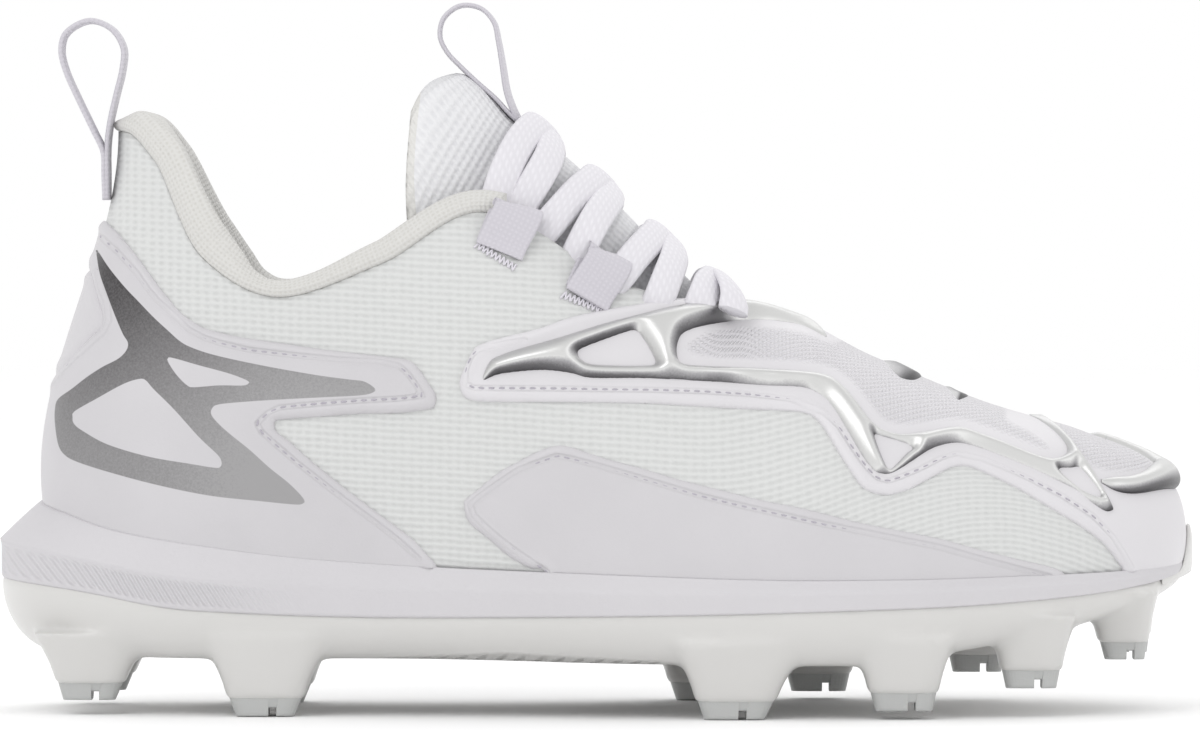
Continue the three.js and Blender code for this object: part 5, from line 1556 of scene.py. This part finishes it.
TONGUE_PARTS, TONGUE_ACROSS = 90, 61
part, across = np.meshgrid(np.linspace(0, 1, TONGUE_PARTS), np.linspace(-1, 1, TONGUE_ACROSS),
                           indexing="ij")
part = part * (1 - 0.02 * np.abs(across) ** 6)
pillow = np.sqrt(np.clip(1 - np.abs(across) ** 7, 0,
                         1)) * np.sqrt(np.clip(1 - ((part - 0.9) / 0.1).clip(0) ** 4, 0, 1))
thick = mix(0.45, 1, np.cos(across * np.pi / 2) * ease(0, 0.35, part)) * TONGUE_THICKNESS * pillow
inset = (TONGUE_THICKNESS - thick) * 0.25 * ease(0.2, 0.4, part)
front = tongue_point(part, across, inset)
back = tongue_point(part, across, inset + thick + 0.05)
tongue_points, tongue_faces = join_parts([
    (front, grid_faces(TONGUE_PARTS, TONGUE_ACROSS, True)), (back,
        grid_faces(TONGUE_PARTS, TONGUE_ACROSS))])
low_edge = np.stack([np.arange(TONGUE_ACROSS - 1), np.arange(1, TONGUE_ACROSS)], axis=1)
shift = TONGUE_PARTS * TONGUE_ACROSS
bottom = np.stack([low_edge[:, 0], low_edge[:, 1], low_edge[:, 1] + shift, low_edge[:, 0] + shift], axis=1)
top = bottom[:, ::-1] + (TONGUE_PARTS - 1) * TONGUE_ACROSS
side_index = np.arange(TONGUE_PARTS - 1) * TONGUE_ACROSS
left = np.stack([side_index, side_index + shift, side_index + shift + TONGUE_ACROSS,
                 side_index + TONGUE_ACROSS], axis=1)
right = left[:, ::-1] + TONGUE_ACROSS - 1
ridge_length = np.linalg.norm(np.diff(front[:, TONGUE_ACROSS // 2], axis=0,
                                      prepend=front[:1, TONGUE_ACROSS // 2]),
                              axis=-1).cumsum()
across_length = np.linalg.norm(np.diff(front, axis=1, prepend=front[:, :1]), axis=-1).cumsum(axis=1)
across_length -= across_length[:, TONGUE_ACROSS // 2][:, None]
tongue_uv = np.stack([np.broadcast_to(ridge_length[:, None], part.shape), across_length],
                     axis=-1).reshape(-1, 2) / 10
band = (np.abs(across_length) - across_length[:, -1:] + EDGE_BAND).ravel()
tongue_fabric = knit_material("tongue_air_mesh", "#E2E2E4", "#D7D7DA", 1.6, 1.6, 0.15)
edge_mask = add_node(tongue_fabric, "ShaderNodeAttribute", attribute_name="band")
edge_share = add_node(tongue_fabric, "ShaderNodeMapRange", {"Value": edge_mask.outputs["Fac"],
                                                            "From Min": -0.1,
                                                            "From Max": 0.1})
tongue_shader = tongue_fabric.node_tree.nodes["Principled BSDF"]
front_colour = tongue_shader.inputs["Base Color"].links[0].from_socket
banded = add_node(tongue_fabric, "ShaderNodeMix", {
    "Factor": edge_share.outputs["Result"], "A": front_colour, "B": linear("#D9D8D5")}, data_type="RGBA")
link(tongue_fabric, banded.outputs["Result"], tongue_shader, "Base Color")
tongue = make_piece("tongue_padded", tongue_points, np.concatenate([tongue_faces, bottom, top, left,
    right]),
                    tongue_fabric, uv=np.concatenate([tongue_uv] * 2),
                    masks={"band": np.tile(band, 2)})
hold_row = (np.abs(across) > 0.78) | (part < 0.12) | (part > 0.95) | (np.abs(np.abs(across) - 0.4) < 0.02)
swell(tongue, np.tile(hold_row.ravel(), 2), 2.5, 1.2)
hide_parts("tongue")

# %% [markdown]
# Straps and laces are flat woven tapes. A tape is a flat section carried along a path, with a width
# direction that may turn as it goes. The section is a thin rounded slab, so its edges catch light.

# %% Material: woven tape
def tape_material(name, colour, shade, pitch, ribs_across=False):
    """Fine ribs across the tape, whose hollows take the darker shade colour as painted shade."""
    material, shader = new_material(name, {"Roughness": 0.75, "Sheen Weight": 0.2, "IOR": 1.5})
    threads = surface_wave(material, 10 / pitch, 10 / pitch)
    across = add_node(material, "ShaderNodeTexWave", {"Vector": threads.outputs["Vector"], "Scale": 0.314},
                      wave_type="BANDS", bands_direction="X" if ribs_across else "DIAGONAL")
    fine = add_node(material, "ShaderNodeTexWave", {"Vector": threads.outputs["Vector"], "Scale": 0.314},
                    wave_type="BANDS", bands_direction="Y")
    woven = add_node(material, "ShaderNodeMath", {0: across.outputs["Fac"], 1: fine.outputs["Fac"]},
                     operation="MULTIPLY")
    bump = add_node(material, "ShaderNodeBump", {"Height": woven.outputs[0], "Distance": 0.07 * MM,
                                                 "Strength": 1.0})
    link(material, bump.outputs["Normal"], shader, "Normal")
    tone = add_node(material, "ShaderNodeMix", {
        "Factor": woven.outputs[0], "A": linear(shade), "B": linear(colour)}, data_type="RGBA")
    link(material, tone.outputs["Result"], shader, "Base Color")
    return material


white_thread = new_material("white_sewing_thread", {
    "Base Color": linear("#D8D5DC"), "Roughness": 0.7, "IOR": 1.5})[0]
webbing = tape_material("woven_webbing", "#CBC8CF", "#C3C0C7", 1.0, True)
lace_yarn = tape_material("knitted_lace", "#E2E0E5", "#D8D6DB", 1.1)


def along_path(points, count, closed=False):
    """Resamples a path of control points by a cubic through four neighbours, open or closed."""
    points = np.asarray(points, float)
    if closed:
        return smooth_loop(points, count)
    padded = np.concatenate([2 * points[:1] - points[1:2], points, 2 * points[-1:] - points[-2:-1]])
    at = np.linspace(0, len(points) - 1 - 1e-9, count)
    i, t = at.astype(int), (at % 1)[:, None]
    a, b, c, d = (padded[i + shift] for shift in (0, 1, 2, 3))
    return b + 0.5 * t * (c - a + t * (2 * a - 5 * b + 4 * c - d + t * (3 * (b - c) + d - a)))


def tape(path, width_way, width, thickness, closed=False, count=20, round_edge=0.55):
    """Carries a rounded slab along a path. Across is the width direction, square to the path, and the
    slab's thickness stands on the normal of path and width. Round edge 1 makes the section an ellipse."""
    run = unit(np.roll(path, -1, axis=0) - np.roll(path, 1, axis=0)) if closed else unit(np.gradient(path,
        axis=0))
    across = unit(width_way - np.sum(width_way * run, axis=-1, keepdims=True) * run)
    normal = np.cross(run, across)
    angle = np.arange(count) / count * 2 * np.pi
    c, s = np.cos(angle), np.sin(angle)
    wide = np.sign(c) * np.abs(c) ** round_edge * np.reshape(width, (-1, 1)) / 2
    high = np.sign(s) * np.abs(s) ** round_edge * np.reshape(thickness, (-1, 1)) / 2
    loops = path[:, None] + across[:, None] * wide[..., None] + normal[:, None] * high[..., None]
    length = np.linalg.norm(np.diff(path, axis=0, prepend=path[:1]), axis=-1).cumsum()
    uv = np.stack(np.broadcast_arrays(length[:, None], wide), axis=-1) / 10
    return loops, uv


def tape_piece(name, parts, material, closed=False):
    """Several tapes as one mesh. Closed ones join their last section to the first."""
    points, quads, triangles, uvs, offset = [], [], [], [], 0
    for loops, uv in parts:
        rows, count = loops.shape[:2]
        if closed:
            index = np.arange(rows * count).reshape(rows, count)
            turn, side = np.roll(index, -1, axis=0), np.roll(index, -1, axis=1)
            both = np.roll(turn, -1, axis=1)
            quads.append(np.stack([index, side, both, turn], axis=-1).reshape(-1, 4)[:, ::-1] + offset)
            points.append(loops.reshape(-1, 3))
            uvs.append(uv.reshape(-1, 2))
        else:
            body, sides, caps = closed_stack(loops)
            quads.append(sides + offset)
            triangles.append(caps + offset)
            points.append(body)
            uvs.append(np.concatenate([uv.reshape(-1, 2), uv[0, :1], uv[-1, :1]]))
        offset += len(points[-1])
    faces = [np.concatenate(quads)] + ([np.concatenate(triangles)] if triangles else [])
    piece = make_piece(name, np.concatenate(points), faces, material, uv=np.concatenate(uvs))
    work = bmesh.new()
    work.from_mesh(piece.data)
    bmesh.ops.recalc_face_normals(work, faces=work.faces)
    work.to_mesh(piece.data)
    work.free()
    return piece


# %% [markdown]
# The heel and the tongue each have a pull loop of thin webbing, bent into a teardrop that shows its edge to
# the camera. Its path is read off the photo in the middle plane of the shoe.

# %% The pull loops
HEEL_LOOP_PATH = [
    (106, 200), (105, 175), (104, 152), (95, 132), (80, 101), (67, 72), (62, 50), (68, 32), (90, 21),
                  (112, 29),
    (124, 48), (123, 70), (117, 95), (111, 122), (108, 148), (108, 175), (108, 200),
]
TONGUE_LOOP_PATH = [
    (516, 120), (506, 110), (495, 98), (478, 83), (460, 66), (447, 52), (440, 36), (444, 18), (460, 6),
                    (480, 8),
    (494, 22), (499, 42), (503, 65), (507, 90), (513, 108), (520, 122),
]
loop_path = along_path(from_photo(*np.array(HEEL_LOOP_PATH).T, 0.0), 110)
heel_tape = tape(loop_path, np.broadcast_to([0.0, 1, 0], loop_path.shape), 9.5, 1.25)
heel_loop = tape_piece("heel_pull_loop_webbing", [heel_tape], webbing)
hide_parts("heel_pull_loop")
loop_path = along_path(from_photo(*np.array(TONGUE_LOOP_PATH).T, 0.0), 110)
turn = np.linspace(0, 1, len(loop_path))[:, None]
width_way = unit(np.array([0.0, 1, 0]) + np.array([0.12, 0, 0.0]) * ease(0.5, 1, turn))
tongue_tape = tape(loop_path, width_way, 8.5, 1.0)
tongue_loop = tape_piece("tongue_pull_loop_webbing", [tongue_tape], webbing)
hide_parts("tongue_pull_loop")

# %% [markdown]
# Instead of punched eyelets the shoe has four short loops of webbing sewn to the throat's edge. Each tape
# starts on the wall, stands up past the edge, folds over the lace and comes down again on top of itself.
# Its corners are read off the photo; how far it lies out comes from the wall behind it.

# %% The webbing lace loops
TAB_CORNERS = {
    "upper": [(489, 202), (542, 214), (517, 262), (480, 241)],
    "lower": [(581, 248), (625, 262), (607, 308), (563, 292)],
}
TAB_FOLD = [(0.10, 0.2), (0.45, 0.3), (0.75, 0.5), (0.95, 1.0), (1.02, 2.1), (0.96, 3.3), (0.78, 3.6),
            (0.5, 2.6),
            (0.22, 1.3), (0.0, 0.75)]
TAB_THICKNESS = 0.9


def beyond_wall(side, pixels):
    """Points at photo places on the wall, which is carried on straight where they lie above its edge: the
    depth of the nearest wall point, less the lean of the wall there times the extra height."""
    s, v = wall_place(pixels)
    place = photo_place(wall(LATERAL, s, v))
    depth = wall(LATERAL, s, v)[:, 1]
    lean = (wall(LATERAL, s, v)[:, 1] - wall(LATERAL, s, v - 0.06)[:, 1]) / (
        wall(LATERAL, s, v)[:, 2] - wall(LATERAL, s, v - 0.06)[:, 2])
    above = (place[:, 1] - pixels[:, 1]) * PIXEL
    points = from_photo(pixels[:, 0], pixels[:, 1], depth + lean * above)
    return points * [1, side * LATERAL, 1]


def lace_loop_tape(side, corners):
    """The tape's middle line runs from the lower edge's middle to the upper one's and back, lifted off by the
    fold's rows; its width runs from the left corners to the right ones."""
    top_left, top_right, low_right, low_left = np.array(corners, float)
    rows = along_path(TAB_FOLD, 46)
    share, lift = rows[:, :1], rows[:, 1:]
    left = beyond_wall(side, mix(low_left, top_left, share))
    right = beyond_wall(side, mix(low_right, top_right, share))
    run = unit(np.broadcast_to(beyond_wall(side, np.array([(top_left + top_right) / 2]))
                               - beyond_wall(side, np.array([(low_left + low_right) / 2])), left.shape))
    out = unit(np.cross(right - left, run))
    out = unit(out * [1, 1, 0]) * np.sign(out[:, 1:2]) * np.sign(left[:, 1:2])
    width = np.linalg.norm(right - left, axis=-1).mean()
    return tape((left + right) / 2 + out * lift, unit(right - left), width, TAB_THICKNESS)


tabs = [lace_loop_tape(side, corners) for side in BOTH for corners in TAB_CORNERS.values()]
lace_loops = tape_piece("lace_loops_webbing", tabs, webbing)
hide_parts(*[f"lace_loop_{row}_{way}" for row in TAB_CORNERS for way in ("outer", "inner")])

# %% The zigzag seams under the loops
ZIGZAG_BANDS = [[(479, 241), (516, 265), (514, 273), (474, 248)],
                [(564, 291), (605, 307), (603, 316), (560, 299)]]
ZIGZAG_TURNS = 10


def zigzag(side, corners):
    """A thread that runs to and fro between the long edges of a band."""
    start, end, far_end, far_start = np.array(corners, float)
    t = np.linspace(0, 1, 2 * ZIGZAG_TURNS)[:, None]
    near, far = mix(start, end, t), mix(far_start, far_end, t)
    bends = np.where(np.arange(len(t))[:, None] % 2, near, far)
    s, v = wall_place(bends)
    path = skin(side, s, v, 0.25)
    count = 4 * len(path)
    at = np.linspace(0, len(path) - 1, count)
    path = np.stack([np.interp(at, np.arange(len(path)), path[:, i]) for i in range(3)], axis=-1)
    return tape(path, np.broadcast_to([0.0, 1.0, 0.2], path.shape), 0.45, 0.45, count=6, round_edge=1.0)


tape_piece("loop_zigzag_seams", [zigzag(side, band) for side in BOTH for band in ZIGZAG_BANDS],
                     white_thread)

# %% [markdown]
# The lace is a thick soft flat knitted tape. It crosses the tongue in four humps and ends out of sight in
# the top loops. Each hump is two strands whose near halves show: the table gives each near half as places
# in the photo and how far it lies from the middle plane. A whole strand is one near half, the crest and
# the mirror image of its partner, so that the two cross in the middle.

# %% The laces
LACE_HALVES = {
    "first_front": [(489, 224, -21), (496, 200, -20.5), (506, 170, -18.5), (519, 144, -14), (532, 128, -7)],
    "first_back": [(513, 225, -20.5), (524, 201, -19.5), (539, 176, -17), (549, 157, -12.5),
                   (552, 143, -6)],
    "second_back": [(515, 255, -22.5), (535, 240, -22), (559, 213, -19.5), (578, 192, -14), (592, 180, -7)],
    "second_front": [(571, 270, -22.5), (580, 249, -22.2), (594, 222, -19.5), (605, 205, -13),
                     (611, 195, -6)],
    "third_back": [(602, 292, -23), (619, 276, -22.5), (635, 256, -18.5), (647, 243, -12), (655, 235, -6)],
    "third_front": [(655, 312, -22.5), (660, 297, -22), (668, 276, -18.5), (674, 260, -12), (675, 250, -6)],
    "fourth_back": [(698, 310, -20), (703, 296, -18), (708, 284, -13), (713, 279, -7)],
    "fourth_front": [(733, 312, -19), (734, 300, -17), (731, 289, -13), (726, 282, -7)],
}
LACE_CRESTS = {
    "first_front": (542, 124), "first_back": (549, 134), "second_back": (601, 176),
               "second_front": (609, 186),
    "third_back": (661, 231), "third_front": (670, 240), "fourth_back": (717, 277),
               "fourth_front": (722, 279),
}
LACE_PAIRS = [("first_front", "first_back"), ("second_front", "second_back"), ("third_front", "third_back"),
              ("fourth_front", "fourth_back")]
LACE_WIDTH, LACE_THICKNESS = 6.6, 2.5
RIDGE_RUN = unit(np.array([0.76, 0.0, -0.65]))


def lace_strand(near, far):
    """Near half, crest, and the partner's half mirrored and turned round. The width follows the tongue's
    ridge line."""
    first = from_photo(*np.array(LACE_HALVES[near], float).T)
    second = from_photo(*np.array(LACE_HALVES[far], float).T) * [1, -1, 1]
    crest = from_photo(*np.array([LACE_CRESTS[near]], float).T, 0.0)
    path = along_path(np.concatenate([first, crest, second[::-1]]), 80)
    return tape(path, np.broadcast_to(RIDGE_RUN, path.shape), LACE_WIDTH, LACE_THICKNESS, round_edge=1.0)


strands = [lace_strand(*order) for pair in LACE_PAIRS for order in (pair, pair[::-1])]
laces = tape_piece("laces_knitted", strands, lace_yarn)
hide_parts(*[f"lace_crossing_{number}" for number in (1, 2, 3, 4)])

# %% [markdown]
# The silver horseshoe guards the toe tip: one rounded bar, bent round the toe and broadest at its crown.
# It is carried along a path on the film like a tape, with an oval section. The outer arm lies where the
# photo shows it. The inner arm lies higher, so that it shows as the thin line that ends the toe.

# %% The horseshoe
HORSESHOE_NEAR = [(1099, 484), (1112, 487), (1128, 488), (1143, 485), (1156, 480)]
CROWN_AND_FAR_STATIONS = [1.0, 0.962, 0.925, 0.890, 0.855, 0.820]
CROWN_AND_FAR_SHARES = [0.56, 0.60, 0.665, 0.72, 0.755, 0.77]
HORSESHOE_AT = [0.0, 0.12, 0.30, 0.50, 0.62, 0.80, 0.93, 1.0]
HORSESHOE_WIDTHS = [1.0, 3.6, 4.6, 7.0, 6.6, 5.0, 4.2, 1.0]
HORSESHOE_HEIGHTS = [0.8, 3.0, 4.2, 5.0, 5.0, 5.4, 4.8, 0.8]
near_place = wall_place(np.array(HORSESHOE_NEAR, float))
far_place = np.array(CROWN_AND_FAR_STATIONS), np.array(CROWN_AND_FAR_SHARES)
horseshoe_path = along_path(np.concatenate([skin(LATERAL, *near_place, FILM),
                                            skin(MEDIAL, *far_place, FILM)]), 120)
horseshoe_up = along_path(np.concatenate([wall_normal(LATERAL, *near_place),
                                          wall_normal(MEDIAL, *far_place)]), 120)
width_way = np.cross(horseshoe_up, np.gradient(horseshoe_path, axis=0))
share_along = np.linspace(0, 1, 120)
along_widths, along_heights = (curve(HORSESHOE_AT, sizes, share_along) for sizes in (HORSESHOE_WIDTHS,
    HORSESHOE_HEIGHTS))
bumper = tape_piece("silver_horseshoe_trim", [tape(horseshoe_path, width_way, along_widths, along_heights,
                                                   count=28,
                                                   round_edge=1.0)], silver)
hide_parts("silver_horseshoe")

# %% [markdown]
# The grey tips are a harder plastic, moulded with a small notch in the ground face of each. A tip is a
# closed section carried along the shoe: its underside jumps up over the notch, and its sides follow the
# same squared oval as the stud above.

# %% The stud tips
def tip_material():
    """Grey moulded plastic: satin, with fine scratches from the ground in its gloss."""
    material, shader = new_material("grey_moulded_tip", {"Base Color": linear("#B4B5B4"), "IOR": 1.5})
    coordinates = add_node(material, "ShaderNodeTexCoord")
    fine = add_node(material, "ShaderNodeMapping", {"Vector": coordinates.outputs["Object"],
                                                    "Scale": (300, 1200, 1200)})
    noise = add_node(material, "ShaderNodeTexNoise", {"Vector": fine.outputs["Vector"], "Scale": 1.5,
                                                      "Detail": 4.0})
    rough = add_node(material, "ShaderNodeMapRange", {"Value": noise.outputs["Fac"], "To Min": 0.38,
                                                      "To Max": 0.62})
    link(material, rough.outputs["Result"], shader, "Roughness")
    bump = add_node(material, "ShaderNodeBump", {"Height": noise.outputs["Fac"], "Distance": 0.06 * MM})
    link(material, bump.outputs["Normal"], shader, "Normal")
    return material


def tip_loops(row, side):
    """Sections across the shoe at places along the tip, doubled at the notch's two walls."""
    along, x, y, floor, joint = stud_place(row, side)
    half, depth = STUDS["tip"][row] * BALL_WIDTH / 2, STUDS["depth"][row] * BALL_WIDTH / 2
    notch = half * 0.25
    spread = np.sin(np.linspace(-np.pi / 2, np.pi / 2, 21)) * half
    walls = np.array([notch - NOTCH_WIDTH / 2] * 2 + [notch + NOTCH_WIDTH / 2] * 2)
    at = np.sort(np.concatenate([spread[np.abs(spread - notch) > NOTCH_WIDTH / 2 + 0.1], walls]))
    inner = (at > walls[0] - 1e-6) & (at < walls[2] + 1e-6)
    first, final = np.nonzero(inner)[0][[0, -1]]
    inner[first] = inner[final] = False
    floor_at = np.where(inner, floor + NOTCH_HEIGHT, floor)
    deep = depth * np.clip(1 - np.abs(at / half) ** 4, 0.02, 1) ** 0.25
    angle = (np.arange(28) + 0.5) / 28 * 2 * np.pi
    c, s = np.cos(angle), np.sin(angle)
    c, s = np.sign(c) * np.abs(c) ** 0.35, np.sign(s) * np.abs(s) ** 0.2
    up = (s[None] + 1) / 2
    narrow = mix(0.90, 1.04, up)
    z = mix(floor_at[:, None], joint, up)
    width = deep[:, None] * c[None] * narrow
    back, front = stud_reach(row, JOINT_GROWN * up)
    lengthen = np.where(at[:, None] > 0, front, back) / half
    return np.stack([x + at[:, None] * lengthen, y + width, z], axis=-1)


grey_tip = tip_material()
tips = []
for side in BOTH:
    for row in range(len(STUD_NAMES)):
        loops = tip_loops(row, side)
        tips.append((loops, np.zeros(loops.shape[:2] + (2,))))
stud_tips = tape_piece("stud_tips", tips, grey_tip)
stud_tips.data.polygons.foreach_set("use_smooth", np.zeros(len(stud_tips.data.polygons), bool))
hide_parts(*[f"stud_tip_{name}_{way}" for name in STUD_NAMES for way in ("outer", "inner")])

# %% [markdown]
# At the toe the plate laps up over the foam as a lip, which guards the front edge. It is the same white
# plastic. Inside the shoe a thin board, covered in knit, closes the bottom of the upper.

# %% The toe lip and the insole
RAND_STATIONS = np.linspace(float(station_of(0.962)), 1, 40)
RAND_THICKNESS = 1.5


def rand_loops(side):
    """Sections of the lip from its rear end to the toe tip. It rises as it goes forward, on an ease."""
    rim, out = rim_point(side, RAND_STATIONS), outward_at(side, RAND_STATIONS)
    along = along_of(RAND_STATIONS)
    fade = ease(0.4, 1.0, np.linspace(0, 1, len(RAND_STATIONS)))
    foot = sole("parting", along) * SOLE_HEIGHT - 1.0
    head = mix(foot + 1.4, last("feather", RAND_STATIONS) * SOLE_HEIGHT + 6.6, fade)
    seat = np.maximum(margin_at(along), 1.3) - 0.3
    thick = RAND_THICKNESS * mix(0.08, 1, fade)
    corners = [(0.0, 0.0), (0.85, 0.04), (1.0, 0.2), (1.0, 0.5), (0.95, 0.8), (0.7, 0.97), (0.35, 1.0),
               (0.0, 0.92)]
    return np.stack([np.concatenate([(rim + out * (seat + share * thick)[:, None])[:, :2],
                                     mix(foot, head, rise)[:, None]], axis=1) for share, rise in corners],
                    axis=1)


lip_loops = np.concatenate([rand_loops(LATERAL), rand_loops(MEDIAL)[-2::-1]])
lip = tape_piece("toe_lip_plastic", [(lip_loops, np.zeros(lip_loops.shape[:2] + (2,)))], plastic)
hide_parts("toe_rand")
board_profile = [
    (lambda along: np.full_like(along, -UPPER_WALL - GAP), lambda along,
     station: feather_at(along, station)),
    (lambda along: np.full_like(along, -UPPER_WALL - 0.9), lambda along,
     station: feather_at(along, station) + 2.6),
    (lambda along: np.full_like(along, -UPPER_WALL - 2.2), lambda along,
     station: feather_at(along, station) + 3.5),
]
board = ring_piece_points(board_profile[::-1])
board_uv = np.concatenate([board.reshape(-1, 3)[:, :2]]) / 10
insole_fabric = knit_material("insole_jersey", "#D2D1CE", "#C0BFBC", 1.2, 1.2, 0.15)
insole = make_piece("insole_board", board.reshape(-1, 3), ring_faces(*board.shape[:2]), insole_fabric,
                    uv=board_uv)
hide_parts("insole")

# %% [markdown]
# Plain studio: a pale floor, a white room and three large soft lamps, two high in front and one behind.

# %% Floor, room and lamps
floor_material, floor_shader = new_material("pale_floor", {"Base Color": linear("#FFFFFF"),
                                                           "Roughness": 0.9})
floor_mesh = bpy.data.meshes.new("floor")
floor_mesh.from_pydata([(-4, -4, 0), (4, -4, 0), (4, 4, 0), (-4, 4, 0)], [], [(0, 1, 2, 3)])
floor_mesh.materials.append(floor_material)
floor = bpy.data.objects.new("floor", floor_mesh)
bpy.context.collection.objects.link(floor)

world = bpy.data.worlds.new("white_room")
bpy.context.scene.world = world
world.use_nodes = True
world.node_tree.nodes["Background"].inputs["Color"].default_value = (1, 1, 1, 1)
world.node_tree.nodes["Background"].inputs["Strength"].default_value = 1.0


def add_lamp(name, place, aim, size, power):
    """A square area lamp turned towards a point."""
    data = bpy.data.lights.new(name, "AREA")
    data.size, data.energy = size, power
    lamp = bpy.data.objects.new(name, data)
    lamp.location = place
    lamp.rotation_euler = (Vector(aim) - Vector(place)).to_track_quat("-Z", "Y").to_euler()
    bpy.context.collection.objects.link(lamp)


add_lamp("key", (-0.7, -1.1, 1.3), (0, 0, 0.05), 0.9, 5)
add_lamp("fill", (1.2, -0.8, 0.8), (0, 0, 0.05), 0.8, 1)
add_lamp("rim", (0.2, 1.0, 1.1), (0, 0, 0.08), 0.9, 2)
